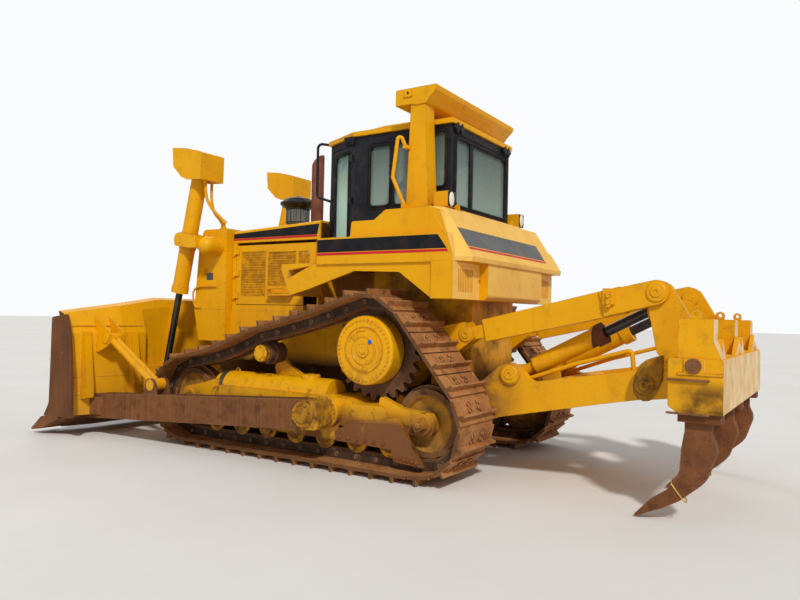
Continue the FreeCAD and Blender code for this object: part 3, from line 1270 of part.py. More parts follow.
def ripper_frame():
    """Lower ripper frame: two deep side plates, cross tube, cylinder lugs and a raised rail."""
    ax, az = LOWER_FRONT
    bx, bz = LOWER_REAR
    cx, cz = RIP_BASE
    sides = []
    for lo, hi in ((LINK_Y - LINK_EYE, LINK_Y + LINK_EYE),):
        plate = prism("y", [(ax + 75.0, az - 55.0, 55.0), (ax + 75.0, az + 60.0, 55.0),
                            (cx + 110.0, cz + 60.0, 60.0), (cx + 20.0, cz + 100.0, 60.0),
                            (cx - 85.0, cz + 60.0, 60.0), (cx - 175.0, cz - 55.0, 80.0),
                            (bx + 60.0, bz + 105.0, 60.0), (bx - 105.0, bz + 80.0, 70.0),
                            (bx - 105.0, bz - 90.0, 70.0), (-2729.0, 720.0), (-1860.0, 535.0),
                            (-1640.0, 440.0)],
                      lo, hi)
        sides.append(plate)
    boss = disc(cx, cz, 88.0, LINK_Y + LINK_EYE - 2.0, LINK_Y + 66.0)
    inner = prism("y", [(cx + 60.0, cz + 60.0, 60.0), (cx - 60.0, cz + 90.0, 60.0),
                        (cx - 110.0, cz - 60.0), (cx - 110.0, 560.0), (cx + 60.0, 545.0)], 240.0, 290.0)
    tube = rod((-2350.0, -LINK_Y, 780.0), (-2350.0, LINK_Y, 780.0), 110.0)
    floor = prism("y", [(-1860.0, 545.0), (-1860.0, 600.0), (-2729.0, 785.0), (-2729.0, 730.0)], -LINK_Y,
                  LINK_Y)
    rail = pipe([(-2020.0, RAIL_Y, 610.0), (-2030.0, RAIL_Y, 850.0), (-2480.0, RAIL_Y, 1015.0),
                 (-2935.0, RAIL_Y, 1150.0), (-2950.0, RAIL_Y, 990.0),
                 (-2690.0, RAIL_Y, 745.0)], 18.0, 30.0)
    pin = disc(cx, cz, 45.0 - PIN_PLAY, 250.0, LINK_Y + 66.0)
    half = joined(sides + [boss, inner, pin, rail])
    whole = joined([half, mirrored(half), tube, floor])
    holes = [disc(ax, az, 50.0, -900.0, 900.0), disc(bx, bz, 55.0, -900.0, 900.0)]
    for hole in holes:
        whole = whole.cut(hole)
    return whole


BEAM_REAR = -3674.0
BEAM_FRONT = -3325.0
BEAM_HALF = 1100.0
BEAM_LOW = 768.0
BEAM_TOP = 1138.0
SHANK_Y = 1000.0
SHANK_W = 76.0
SHANK_X = (-3600.0, -3425.0)
POCKET_TOP = 1405.0
SHANK_PIN = (-3489.0, 1088.0)
SHANK_PIN_R = 40.0
SHANK_FIT = 0.3
GUSSET_TOP = 1275.0
GUSSET_RUN = 165.0
COLLAR_LOW = 706.0
# low z and high z of the flanges round the beam
FLANGES = [(1026.0, 1042.0), (BEAM_LOW + 1.0, 786.0)]


def ripper_beam():
    """Tool beam with three shank pockets, link masts and hinge lugs."""
    beam = prism("y", [(BEAM_FRONT, BEAM_LOW + 40.0, 30.0), (BEAM_FRONT, BEAM_TOP, 25.0),
                       (BEAM_REAR, BEAM_TOP, 12.0), (BEAM_REAR, BEAM_LOW, 12.0),
                       (BEAM_FRONT - 60.0, BEAM_LOW)],
                 -BEAM_HALF, BEAM_HALF)
    pieces = [beam]
    for y in (-SHANK_Y, 0.0, SHANK_Y):
        tower = prism("y", [(BEAM_FRONT - 60.0, BEAM_TOP - 5.0), (BEAM_FRONT - 60.0, POCKET_TOP, 12.0),
                            (-3608.0, POCKET_TOP, 12.0), (-3608.0, 1260.0), (-3660.0, BEAM_TOP - 5.0)],
                      y - SHANK_W / 2 - 52.0, y + SHANK_W / 2 + 52.0)
        eye = disc(-3500.0, POCKET_TOP + 28.0, 34.0, y + 55.0, y + 85.0)
        eye = eye.cut(disc(-3500.0, POCKET_TOP + 32.0, 14.0, y + 50.0, y + 90.0))
        eye = eye.fuse(box((-3530.0, -3470.0), (y + 55.0, y + 85.0),
                           (POCKET_TOP - 10.0, POCKET_TOP + 12.0)))
        pieces += [tower, eye]
    for y, inward in ((-SHANK_Y, 1), (0.0, -1), (0.0, 1), (SHANK_Y, -1)):
        near = y + inward * (SHANK_W / 2 + 50.0)
        gusset = prism("x", [(near, BEAM_TOP - 5.0), (near, GUSSET_TOP),
                             (near + inward * GUSSET_RUN, BEAM_TOP - 5.0)],
                       -3640.0, -3608.0)
        pieces.append(gusset)
    for y in (-SHANK_Y, 0.0, SHANK_Y):
        pieces.append(box((BEAM_REAR + 14.0, BEAM_FRONT - 62.0),
                          (y - SHANK_W / 2 - 44.0, y + SHANK_W / 2 + 44.0),
                          (COLLAR_LOW, BEAM_LOW + 5.0)))
    for low, high in FLANGES:
        pieces.append(box((BEAM_REAR + 2.0, BEAM_FRONT - 62.0), (-BEAM_HALF - 9.0, BEAM_HALF + 9.0),
                          (low, high)))
    ux, uz = UPPER_REAR
    bx, bz = LOWER_REAR
    ex, ez = RIP_EYE
    mast = prism("y", [(ux + 75.0, uz - 60.0, 60.0), (ux + 75.0, uz + 75.0, 70.0),
                       (ux - 85.0, uz + 70.0, 60.0), (ux - 260.0, POCKET_TOP - 40.0),
                       (BEAM_FRONT - 120.0, BEAM_TOP - 60.0),
                       (BEAM_FRONT + 20.0, 900.0), (bx - 135.0, bz + 160.0), (bx - 60.0, bz + 240.0, 60.0),
                       (ux + 20.0, 1250.0, 200.0)], LINK_Y - 38.0, LINK_Y + 38.0)
    inner = prism("y", [(ex + 70.0, ez - 70.0, 60.0), (ex + 75.0, ez + 70.0, 60.0),
                        (ex - 70.0, ez + 75.0, 60.0), (ux - 230.0, POCKET_TOP - 60.0),
                        (BEAM_FRONT - 100.0, BEAM_TOP - 60.0), (ex - 60.0, 1180.0)],
                  RIP_CYL_Y - 92.0, RIP_CYL_Y - 56.0)
    outer = inner.copy()
    outer.translate(V(0, 148.0, 0))
    hinge = []
    for lo, hi in ((LINK_Y - 120.0, LINK_Y - 50.0), (LINK_Y + 50.0, LINK_Y + 120.0)):
        hinge.append(prism("y", [(bx + 100.0, bz - 30.0, 90.0), (bx + 60.0, bz + 110.0, 90.0),
                                 (BEAM_FRONT - 20.0, BEAM_TOP - 20.0),
                                 (BEAM_FRONT - 20.0, BEAM_LOW + 60.0), (bx - 20.0, bz - 110.0, 90.0)], lo,
                                 hi))
    pins = [disc(ux, uz, 45.0 - PIN_PLAY, LINK_Y - 90.0, LINK_Y + 90.0),
            disc(bx, bz, 55.0 - PIN_PLAY, LINK_Y - 120.0, LINK_Y + 120.0)]
    for lo, hi in ((RIP_CYL_Y - 104.0, RIP_CYL_Y - 56.0), (RIP_CYL_Y + 56.0, RIP_CYL_Y + 104.0)):
        pins.append(disc(ex, ez, 40.0, lo, hi))
    half = joined([mast, inner, outer] + hinge + pins)
    whole = joined(pieces + [half, mirrored(half)])
    for y in (-SHANK_Y, 0.0, SHANK_Y):
        slot = box(SHANK_X, (y - SHANK_W / 2, y + SHANK_W / 2), (COLLAR_LOW - 10.0, POCKET_TOP + 50.0))
        hole = disc(SHANK_PIN[0], SHANK_PIN[1], SHANK_PIN_R, y - SHANK_W / 2 - 75.0, y + SHANK_W / 2 + 80.0)
        whole = whole.cut(slot).cut(hole)
    return whole


def ripper_shanks():
    """Three curved shanks with pointed tips, seated in the beam's pockets."""
    x0, x1 = SHANK_X
    outline = [(x1 - SHANK_FIT, 1330.0), (x0 + SHANK_FIT, 1330.0), (x0 + SHANK_FIT, 620.0),
               (-3640.0, 530.0, 120.0), (-3565.0, 310.0, 160.0), (-3400.0, 160.0, 100.0),
               (-3290.0, 95.0, 60.0), (-3110.0, 12.0),
               (-3098.0, 24.0), (-3190.0, 128.0, 60.0), (-3320.0, 225.0, 80.0), (-3395.0, 360.0, 120.0),
               (-3405.0, 520.0, 60.0), (x1 - SHANK_FIT, 640.0)]
    pieces = []
    for y in (-SHANK_Y, 0.0, SHANK_Y):
        half = SHANK_W / 2 - SHANK_FIT
        pin = disc(SHANK_PIN[0], SHANK_PIN[1], SHANK_PIN_R - PIN_PLAY, y - SHANK_W / 2 - 75.0,
                   y + SHANK_W / 2 + 75.0)
        pieces.append(joined([prism("y", outline, y - half, y + half), pin]))
    return Part.makeCompound(pieces)


def rip_point(distance, y):
    """Point on a ripper cylinder's axis, counted from its base pin."""
    x, z = along(RIP_BASE, RIP_EYE, distance)
    return (x, y, z)


RIP_BARREL_R = 78.0
RIP_BARREL = (150.0, 815.0)


def ripper_barrels():
    """Ripper cylinders' barrels with base eyes."""
    y = RIP_CYL_Y
    body = rod(rip_point(RIP_BARREL[0], y), rip_point(RIP_BARREL[1], y), RIP_BARREL_R)
    neck = rod(rip_point(30.0, y), rip_point(RIP_BARREL[0] + 5.0, y), 50.0)
    gland = rod(rip_point(RIP_BARREL[1] - 90.0, y), rip_point(RIP_BARREL[1], y), RIP_BARREL_R + 14.0)
    eye = disc(RIP_BASE[0], RIP_BASE[1], 74.0, y - 60.0, y + 60.0)
    whole = joined([body, neck, gland, eye])
    whole = whole.cut(disc(RIP_BASE[0], RIP_BASE[1], 45.0, y - 70.0, y + 70.0))
    return both(whole.cut(rod(rip_point(RIP_BARREL[0] + 40.0, y), rip_point(RIP_BARREL[1] + 1, y), 42.4)))


def ripper_rods():
    """Ripper cylinders' rods with eyes."""
    y = RIP_CYL_Y
    full = math.dist(RIP_BASE, RIP_EYE)
    bar = rod(rip_point(560.0, y), rip_point(full - 40.0, y), 42.0)
    eye = disc(RIP_EYE[0], RIP_EYE[1], 66.0, y - 48.0, y + 48.0)
    return both(joined([bar, eye]))


# Write every piece.

wheels = [idler(IDLER_FRONT_X), idler(IDLER_REAR_X)]
lower = rollers()
left_door = engine_door()
left_cab_door = cab_door()

save("track_left", track(1))
save("track_right", track(-1))
save("idlers", Part.makeCompound(wheels + [mirrored(w) for w in wheels]))
save("rollers", Part.makeCompound(lower + [mirrored(w) for w in lower]))
save("sprockets", both(sprocket()))
save("final_drives", both(final_drive()))
save("track_frames", both(track_frame()))
save("main_frame", main_frame())
save("engine_block", box((320.0, 1330.0), (-330.0, 330.0), (RAIL_TOP_Z, 2000.0)))
save("radiator_guard", radiator_guard())
save("radiator_grille", radiator_grille())
save("hood", hood())
save("engine_door_left", left_door)
save("engine_door_right", mirrored(left_door))
save("exhaust_stack", exhaust_stack())
save("air_precleaner", air_precleaner())
save("cab_shell", cab_shell())
save("cab_door_left", left_cab_door)
save("cab_door_right", mirrored(left_cab_door))
save("door_glass_left", door_glass())
save("door_glass_right", mirrored(door_glass()))
save("cab_glass", cab_glass())
save("cab_roof", cab_roof())
save("rops", rops())
save("seat", seat())
save("cab_controls", cab_controls())
save("fenders", both(fender()))
save("rear_tank", rear_tank())
save("rear_lamps", rear_lamps())
save("handrails", handrails())
save("lift_yokes", both(lift_yoke()))
save("lift_hoses_left", lift_hoses())
save("lift_hoses_right", mirrored(lift_hoses()))
save("ripper_mount", ripper_mount())
save("blade", blade())
save("blade_pins", blade_pins())
save("cutting_edge", cutting_edge())
save("push_arms", both(push_arm()))
save("tilt_braces", both(tilt_brace()))
save("lift_barrel_left", lift_barrel())
save("lift_barrel_right", mirrored(lift_barrel()))
save("lamp_guard_left", lamp_guard())
save("lamp_guard_right", mirrored(lamp_guard()))
save("lift_rod_left", lift_rod())
save("lift_rod_right", mirrored(lift_rod()))
save("ripper_frame", ripper_frame())
save("ripper_links", ripper_links())
save("ripper_beam", ripper_beam())
save("ripper_shanks", ripper_shanks())
save("ripper_barrels", ripper_barrels())
save("ripper_rods", ripper_rods())
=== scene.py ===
"""Looks of a track-type tractor with blade and ripper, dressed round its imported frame.

Metres, +X forward, +Y to the machine's left, +Z up.  Places are written in the part's own
millimetres, with X counted from the middle between the idlers, and moved by FORE.
"""
import math

import bmesh
import bpy
import numpy as np
from mathutils import Matrix


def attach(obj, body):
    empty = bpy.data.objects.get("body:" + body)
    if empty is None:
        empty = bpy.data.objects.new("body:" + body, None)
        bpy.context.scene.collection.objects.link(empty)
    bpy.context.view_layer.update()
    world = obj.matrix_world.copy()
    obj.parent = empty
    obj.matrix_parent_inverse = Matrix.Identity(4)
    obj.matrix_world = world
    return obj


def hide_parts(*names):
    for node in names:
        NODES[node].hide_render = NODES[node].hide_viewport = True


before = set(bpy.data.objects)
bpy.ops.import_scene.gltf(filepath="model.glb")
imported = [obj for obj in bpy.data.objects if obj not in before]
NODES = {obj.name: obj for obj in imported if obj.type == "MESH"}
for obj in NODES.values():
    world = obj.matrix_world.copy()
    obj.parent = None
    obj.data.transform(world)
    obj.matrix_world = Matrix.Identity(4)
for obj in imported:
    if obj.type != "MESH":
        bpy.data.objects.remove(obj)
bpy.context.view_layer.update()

FORE = 240.0
SIGNS = (("left", 1.0), ("right", -1.0))
FLOOR_HALF = 90.0
UP = (0.0, 0.0, 1.0)
OUT_LEFT = (0.0, 1.0, 0.0)
AHEAD = (1.0, 0.0, 0.0)
ASTERN = (-1.0, 0.0, 0.0)


def metres(places):
    """Places in the part's millimetres as metres in the frame: ((x + FORE), y, z) / 1000."""
    return (np.asarray(places, dtype=float) + np.array([FORE, 0.0, 0.0])) / 1000.0


def columns(x, y, z):
    """Places from x, y and z, each a number or an array of numbers."""
    return np.stack(np.broadcast_arrays(x, y, z), axis=-1)


# Camera, at the photograph's viewing angle.

EYE = (-4367.14, 6074.12, 1394.09)
YAW, PITCH, ROLL = (math.radians(a) for a in (-56.9653, 1.1499, 1.2557))
FOCAL_PX = 693.08
IMAGE_WIDTH = 800.0
SENSOR = 36.0


def aim_camera():
    """Camera from yaw, pitch and roll: the view line, and right and up turned about it by the roll."""
    ahead = np.array([math.cos(YAW) * math.cos(PITCH), math.sin(YAW) * math.cos(PITCH), math.sin(PITCH)])
    level = np.array([math.sin(YAW), -math.cos(YAW), 0.0])
    above = np.cross(level, ahead)
    right = level * math.cos(ROLL) + above * math.sin(ROLL)
    up = above * math.cos(ROLL) - level * math.sin(ROLL)
    data = bpy.data.cameras.new("camera")
    data.sensor_width = SENSOR
    data.lens = FOCAL_PX / IMAGE_WIDTH * SENSOR
    data.clip_end = 400.0
    camera = bpy.data.objects.new("camera", data)
    turn = Matrix((right, up, -ahead)).transposed().to_4x4()
    camera.matrix_world = Matrix.Translation(metres(EYE)) @ turn
    bpy.context.scene.collection.objects.link(camera)
    bpy.context.scene.camera = camera


# Shapes: each is (points, faces), with faces as arrays of one number of corners each.


def walls(base):
    """Four-sided faces between each ring of point numbers and the next, closed round each ring."""
    after = np.roll(base, -1, axis=-1)
    corners = [base[..., :-1, :], after[..., :-1, :], after[..., 1:, :], base[..., 1:, :]]
    return np.stack(corners, axis=-1).reshape(-1, 4)


def stacked(points):
    """Surface through rings of points (ring, side, xyz), or many such: walls, and a face on each end."""
    base = np.arange(points[..., 0].size).reshape(points.shape[:-1])
    ends = base.reshape(-1, *base.shape[-2:])
    return points.reshape(-1, 3), [walls(base), ends[:, 0, ::-1], ends[:, -1]]


def round_a_turn(sides, across, up):
    """Directions round a full turn for each pair of axes: cos t * across + sin t * up."""
    turn = np.arange(sides) * 2 * np.pi / sides
    return np.cos(turn)[None, :, None] * across[:, None] + np.sin(turn)[None, :, None] * up[:, None]


def revolve(profile, centres, axes, sides=24):
    """Surface of revolution: centre + axis * height + radius * (cos t * across + sin t * up).

    The profile is (radius, height) rows; t goes once round; the two end rings close flat.
    One copy is made for each centre.
    """
    profile = np.asarray(profile, dtype=float) / 1000.0
    centres = np.atleast_2d(centres)
    axes = np.broadcast_to(np.asarray(axes, dtype=float), centres.shape)
    axes = axes / np.linalg.norm(axes, axis=1, keepdims=True)
    helper = np.where(np.abs(axes[:, 2:3]) < 0.9, np.array([[0.0, 0.0, 1.0]]), np.array([[1.0, 0.0, 0.0]]))
    across = np.cross(helper, axes)
    across /= np.linalg.norm(across, axis=1, keepdims=True)
    up = np.cross(axes, across)
    ring = round_a_turn(sides, across, up)
    points = (centres[:, None, None] + profile[None, :, 1, None, None] * axes[:, None, None]
              + profile[None, :, 0, None, None] * ring[:, None])
    return stacked(points)


def sweep(path, radius, sides=10, closed=False):
    """Round bar along a path: path point + radius * (cos t * across + sin t * up).

    Across is square to the path and to the axis that the path follows least.
    """
    path = np.asarray(path, dtype=float)
    if closed:
        along = np.roll(path, -1, axis=0) - np.roll(path, 1, axis=0)
    else:
        along = np.gradient(path, axis=0)
    along /= np.linalg.norm(along, axis=1, keepdims=True)
    steady = np.eye(3)[np.argmin(np.abs(along).max(axis=0))]
    across = np.cross(along, steady)
    across /= np.linalg.norm(across, axis=1, keepdims=True)
    up = np.cross(along, across)
    size = np.broadcast_to(np.asarray(radius, dtype=float) / 1000.0, (len(path),))
    ring = round_a_turn(sides, across, up)
    points = path[:, None] + size[:, None, None] * ring
    if not closed:
        return stacked(points)
    base = np.arange(len(path) * sides).reshape(len(path), sides)
    return points.reshape(-1, 3), [walls(np.concatenate([base, base[:1]]))]


def eased(points, rounds=3):
    """A bent line with its corners cut: each round keeps the points at 1/4 and 3/4 of every run."""
    line = np.asarray(points, dtype=float)
    for _ in range(rounds):
        inner = np.stack([line[:-1] * 0.75 + line[1:] * 0.25, line[:-1] * 0.25 + line[1:] * 0.75], axis=1)
        line = np.concatenate([line[:1], inner.reshape(-1, 3), line[-1:]])
    return line


def on_wall(first, second, axis, place):
    """Places in a plane square to an axis: (y, z) for axis x, (x, z) for axis y and (x, y) for axis z."""
    return {"x": columns(place, first, second), "y": columns(first, place, second),
            "z": columns(first, second, place)}[axis]


def slab(outline, axis, low, high):
    """Flat plate: an outline in two axes, at two places along the third, joined by its walls."""
    first, second = np.asarray(outline, dtype=float).T
    points = on_wall(first, second, axis, np.array([[low], [high]]))
    return stacked(metres(points))


def peg(profile, places, sides):
    """Surfaces of revolution that point out to the left, at places in millimetres."""
    return revolve(profile, metres(places), OUT_LEFT, sides)


def bent(points, radius, sides, rounds=3):
    """Round bar along a bent line in millimetres, with its corners eased."""
    return sweep(eased(metres(points), rounds), radius, sides)


CORNERS = np.array([[0, 0, 0], [1, 0, 0], [1, 1, 0], [0, 1, 0], [0, 0, 1], [1, 0, 1], [1, 1, 1], [0, 1, 1]])
CUBE_FACES = np.array([[0, 3, 2, 1], [4, 5, 6, 7], [0, 1, 5, 4], [1, 2, 6, 5], [2, 3, 7, 6], [3, 0, 4, 7]])


def blocks(lows, highs):
    """Square bars between low and high corners: low + (high - low) * each of the eight corners."""
    lows = np.atleast_2d(np.asarray(lows, dtype=float))
    highs = np.atleast_2d(np.asarray(highs, dtype=float))
    points = lows[:, None] + (highs - lows)[:, None] * CORNERS[None]
    faces = CUBE_FACES[None] + 8 * np.arange(len(lows))[:, None, None]
    return metres(points.reshape(-1, 3)), [faces.reshape(-1, 4)]


def merged(shapes):
    """Several shapes as one: points one after the other, face numbers moved up to match."""
    points, groups, start = [], [], 0
    for spots, faces in shapes:
        points.append(spots)
        groups += [np.asarray(face) + start for face in faces]
        start += len(spots)
    return np.concatenate(points), groups


def flipped(shape):
    """The shape on the machine's other side: y becomes -y."""
    return shape[0] * np.array([1.0, -1.0, 1.0]), shape[1]


def as_drawn(shape):
    """The shape on the machine's left, as it is drawn."""
    return shape


FITS = (("left", as_drawn), ("right", flipped))


def pair(shape):
    """A shape with its mirror image."""
    return merged([shape, flipped(shape)])


def turned(shape, axis, degrees, about):
    """A shape turned about an axis through a place: about + R * (point - about)."""
    rotation = np.array(Matrix.Rotation(math.radians(degrees), 3, axis))
    return (shape[0] - about) @ rotation.T + about, shape[1]


def put(name, shape, finish, body="chassis", crease=32.0, bevel=0.0):
    """Puts a shape into a mesh with its faces turned outwards, in a finish, and lets it ride on a body."""
    points, groups = shape
    groups = [np.asarray(group) for group in groups if len(group)]
    corners = np.concatenate([group.ravel() for group in groups]).astype(np.int32)
    totals = np.concatenate([np.full(len(group), group.shape[1]) for group in groups])
    mesh = bpy.data.meshes.new(name)
    mesh.vertices.add(len(points))
    mesh.vertices.foreach_set("co", np.asarray(points, dtype=np.float32).ravel())
    mesh.loops.add(len(corners))
    mesh.loops.foreach_set("vertex_index", corners)
    mesh.polygons.add(len(totals))
    mesh.polygons.foreach_set("loop_start", (np.cumsum(totals) - totals).astype(np.int32))
    mesh.update(calc_edges=True)
    work = bmesh.new()
    work.from_mesh(mesh)
    bmesh.ops.recalc_face_normals(work, faces=work.faces)
    work.to_mesh(mesh)
    work.free()
    mesh.polygons.foreach_set("use_smooth", np.ones(len(mesh.polygons), dtype=bool))
    mesh.set_sharp_from_angle(angle=math.radians(crease))
    mesh.update()
    piece = bpy.data.objects.new(name, mesh)
    bpy.context.scene.collection.objects.link(piece)
    mesh.materials.append(FINISH[finish])
    if bevel:
        edge = piece.modifiers.new("soft_edges", "BEVEL")
        edge.width = bevel
        edge.segments = 2
        edge.limit_method = "ANGLE"
        edge.angle_limit = math.radians(crease)
    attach(piece, body)
    return piece


# Finishes.


def rgb(red, green, blue):
    """A colour as it shows on screen, 0 to 255, turned into linear light."""
    shown = np.array([red, green, blue]) / 255.0
    linear = np.where(shown <= 0.04045, shown / 12.92, ((shown + 0.055) / 1.055) ** 2.4)
    return (*linear.tolist(), 1.0)


class Coat:
    """A finish built up from a base colour by layers, each with a mask of its own."""

    def __init__(self, name, base, second, rough, metal=0.0, scale=1.4):
        """Two colours and a roughness mixed by noise; places are measured in the frame's metres."""
        self.material = bpy.data.materials.new(name)
        self.material.use_nodes = True
        self.tree = self.material.node_tree
        self.shader = self.tree.nodes["Principled BSDF"]
        self.shader.inputs["Metallic"].default_value = metal
        self.shader.inputs["Specular IOR Level"].default_value = 0.22
        self.coords = self.add("ShaderNodeTexCoord")
        self.place = self.coords.outputs["Object"]
        split = self.add("ShaderNodeSeparateXYZ")
        self.join(self.place, split.inputs[0])
        self.axes = split.outputs
        self.colour = self.blend(self.noise(scale, 0.35, 0.65, detail=5.0), rgb(*base), rgb(*second))
        self.rough = self.spread(self.noise(scale * 5, 0.3, 0.7), rough - 0.07, rough + 0.1)
        self.heights = []

    def add(self, kind, **settings):
        """A node with its settings."""
        node = self.tree.nodes.new(kind)
        for key, value in settings.items():
            setattr(node, key, value)
        return node

    def join(self, source, target):
        """A link between two sockets."""
        self.tree.links.new(source, target)

    def feed(self, socket, value):
        """A link or a plain value into a socket."""
        if isinstance(value, bpy.types.NodeSocket):
            self.join(value, socket)
        else:
            socket.default_value = value

    def blend(self, mask, first, second):
        """Colour between two colours, by a mask."""
        node = self.add("ShaderNodeMix", data_type="RGBA")
        self.feed(node.inputs[0], mask)
        self.feed(node.inputs[6], first)
        self.feed(node.inputs[7], second)
        return node.outputs[2]

    def spread(self, value, low, high, start=0.0, end=1.0):
        """A value from start to end, moved to low to high and held there."""
        node = self.add("ShaderNodeMapRange", clamp=True)
        self.feed(node.inputs[0], value)
        for socket, number in zip(node.inputs[1:5], (start, end, low, high)):
            self.feed(socket, number)
        return node.outputs[0]

    def sum(self, kind, first, second):
        """Two values put together by a rule such as MULTIPLY or MAXIMUM."""
        node = self.add("ShaderNodeMath", operation=kind, use_clamp=True)
        self.feed(node.inputs[0], first)
        self.feed(node.inputs[1], second)
        return node.outputs[0]

    def both(self, first, second):
        """Mask where two masks meet: their product."""
        return self.sum("MULTIPLY", first, second)

    def noise(self, scale, low, high, detail=7.0, stretch=(1.0, 1.0, 1.0), shift=0.0):
        """Mask from noise: 0 below low and 1 above high."""
        mapping = self.add("ShaderNodeMapping")
        self.join(self.place, mapping.inputs[0])
        mapping.inputs["Location"].default_value = (shift, shift * 0.7, shift * 1.3)
        mapping.inputs["Scale"].default_value = stretch
        node = self.add("ShaderNodeTexNoise")
        self.join(mapping.outputs[0], node.inputs["Vector"])
        node.inputs["Scale"].default_value = scale
        node.inputs["Detail"].default_value = detail
        node.inputs["Roughness"].default_value = 0.62
        return self.spread(node.outputs[0], 0.0, 1.0, low, high)

    def ramp(self, value, low, high):
        """Mask of a value: 0 at low and 1 at high, which may be turned round."""
        if low < high:
            return self.spread(value, 0.0, 1.0, low, high)
        return self.spread(value, 1.0, 0.0, high, low)

    def along(self, axis, low, high):
        """Mask along an axis in the frame: 0 at low and 1 at high."""
        return self.ramp(self.axes["XYZ".index(axis)], low, high)

    def outward(self, low, high):
        """Mask by distance from the machine's middle plane: 0 at low and 1 at high."""
        node = self.add("ShaderNodeMath", operation="ABSOLUTE")
        self.join(self.axes[1], node.inputs[0])
        return self.ramp(node.outputs[0], low, high)

    def facing(self, axis, low, high):
        """Mask by the side that the surface faces: its normal's share along an axis, from low to high."""
        split = self.add("ShaderNodeSeparateXYZ")
        self.join(self.coords.outputs["Normal"], split.inputs[0])
        return self.ramp(split.outputs["XYZ".index(axis)], low, high)

    def edges(self, radius=0.01, low=0.01, high=0.12):
        """Mask that is 1 at sharp edges: one minus the product of the flat and the rounded normal."""
        bevel = self.add("ShaderNodeBevel", samples=4)
        bevel.inputs["Radius"].default_value = radius
        flat = self.add("ShaderNodeNewGeometry")
        dot = self.add("ShaderNodeVectorMath", operation="DOT_PRODUCT")
        self.join(bevel.outputs[0], dot.inputs[0])
        self.join(flat.outputs["Normal"], dot.inputs[1])
        return self.spread(dot.outputs["Value"], 1.0, 0.0, 1.0 - high, 1.0 - low)

    def layer(self, mask, colour, rough=None, amount=1.0):
        """Lays a colour over what is there, where the mask says."""
        if amount < 1.0:
            mask = self.both(mask, amount)
        self.colour = self.blend(mask, self.colour, rgb(*colour) if isinstance(colour, tuple) else colour)
        if rough is not None:
            self.rough = self.spread(mask, self.rough, rough)
        return self

    def relief(self, scale, depth, detail=6.0, stretch=(1.0, 1.0, 1.0)):
        """Adds height from noise, in metres."""
        self.heights.append((self.noise(scale, 0.2, 0.8, detail=detail, stretch=stretch), depth))
        return self

    def done(self):
        """Joins colour, roughness and relief to the shader."""
        self.join(self.colour, self.shader.inputs["Base Color"])
        self.join(self.rough, self.shader.inputs["Roughness"])
        normal = None
        for height, depth in self.heights:
            bump = self.add("ShaderNodeBump")
            bump.inputs["Strength"].default_value = 0.6
            bump.inputs["Distance"].default_value = depth
            self.join(height, bump.inputs["Height"])
            if normal is not None:
                self.join(normal, bump.inputs["Normal"])
            normal = bump.outputs[0]
        if normal is not None:
            self.join(normal, self.shader.inputs["Normal"])
        return self.material


YELLOW = (229, 161, 0)
YELLOW_LIGHT = (236, 172, 4)
YELLOW_WORN = (208, 142, 14)
GRIME = (122, 84, 36)
MUD = (150, 112, 66)
RUST = (112, 66, 34)
RUST_LIGHT = (148, 92, 46)
RUST_DARK = (74, 44, 28)
OIL = (42, 31, 24)


def yellow_coat(name, grime=0.35, rust=0.5, low_dirt=0.4, wear=0.7, dirt_top=1.15, painted_rear_highlight=None):
    """Machine paint: broad fading, rain streaks, grime in patches, rust on the edges, dust low down; if
    given, a painted highlight on rear faces.
    """
    coat = Coat(name, YELLOW, YELLOW_LIGHT, 0.42, scale=1.1)
    # painted highlight: faces that look rearward are made paler, as if lit from behind
    if painted_rear_highlight:
        coat.layer(coat.facing("X", -0.3, -0.7), painted_rear_highlight, 0.5, amount=0.8)
    coat.layer(coat.noise(2.3, 0.5, 0.8, shift=3.0), YELLOW_WORN, amount=0.45)
    streaks = coat.noise(9.0, 0.52, 0.78, stretch=(1.0, 1.0, 0.09), shift=1.0)
    coat.layer(streaks, GRIME, 0.6, amount=grime * 0.55)
    coat.layer(coat.noise(6.5, 0.56, 0.76, shift=7.0), GRIME, 0.62, amount=grime)
    low = coat.both(coat.along("Z", dirt_top, 0.15), coat.noise(4.0, 0.3, 0.62, shift=5.0))
    coat.layer(low, MUD, 0.8, amount=low_dirt)
    chips = coat.noise(38.0, 0.64, 0.69, detail=4.0, shift=2.0)
    coat.layer(coat.both(chips, coat.noise(3.0, 0.45, 0.65)), RUST, 0.75, amount=rust)
    edge = coat.both(coat.edges(), coat.noise(16.0, 0.36, 0.6, shift=4.0))
    coat.layer(edge, RUST, 0.7, amount=wear)
    coat.relief(95.0, 0.0006).relief(5.0, 0.0025)
    return coat


def rust_coat(name, base=RUST, second=RUST_LIGHT, dark=RUST_DARK, paint=0.0, polish=0.0, rough=0.72):
    """Rusty steel: blotches, vertical scour marks, dark pits, traces of paint and rubbed edges."""
    coat = Coat(name, base, second, rough, metal=0.15, scale=3.0)
    coat.layer(coat.noise(10.0, 0.5, 0.72, shift=2.0), dark, 0.8, amount=0.75)
    coat.layer(coat.noise(30.0, 0.55, 0.7, stretch=(1.0, 1.0, 0.08), shift=9.0), second, amount=0.55)
    coat.layer(coat.noise(70.0, 0.6, 0.68, detail=3.0, shift=6.0), dark, amount=0.7)
    if paint:
        coat.layer(coat.noise(5.0, 0.55, 0.62, shift=11.0), YELLOW_WORN, 0.5, amount=paint)
    if polish:
        edge = coat.both(coat.edges(0.012), coat.noise(20.0, 0.3, 0.6))
        coat.layer(edge, (168, 140, 112), 0.35, amount=polish)
    coat.relief(60.0, 0.0015).relief(9.0, 0.003)
    return coat


def plain_coat(name, base, second, rough, metal=0.0, dust=0.3, dust_colour=MUD, scale=4.0):
    """Paint, plastic or steel of one colour with slight clouds, dust and fine relief."""
    coat = Coat(name, base, second, rough, metal, scale=scale)
    coat.layer(coat.noise(8.0, 0.5, 0.8, shift=3.0), dust_colour, 0.75, amount=dust)
    coat.relief(140.0, 0.0004)
    return coat


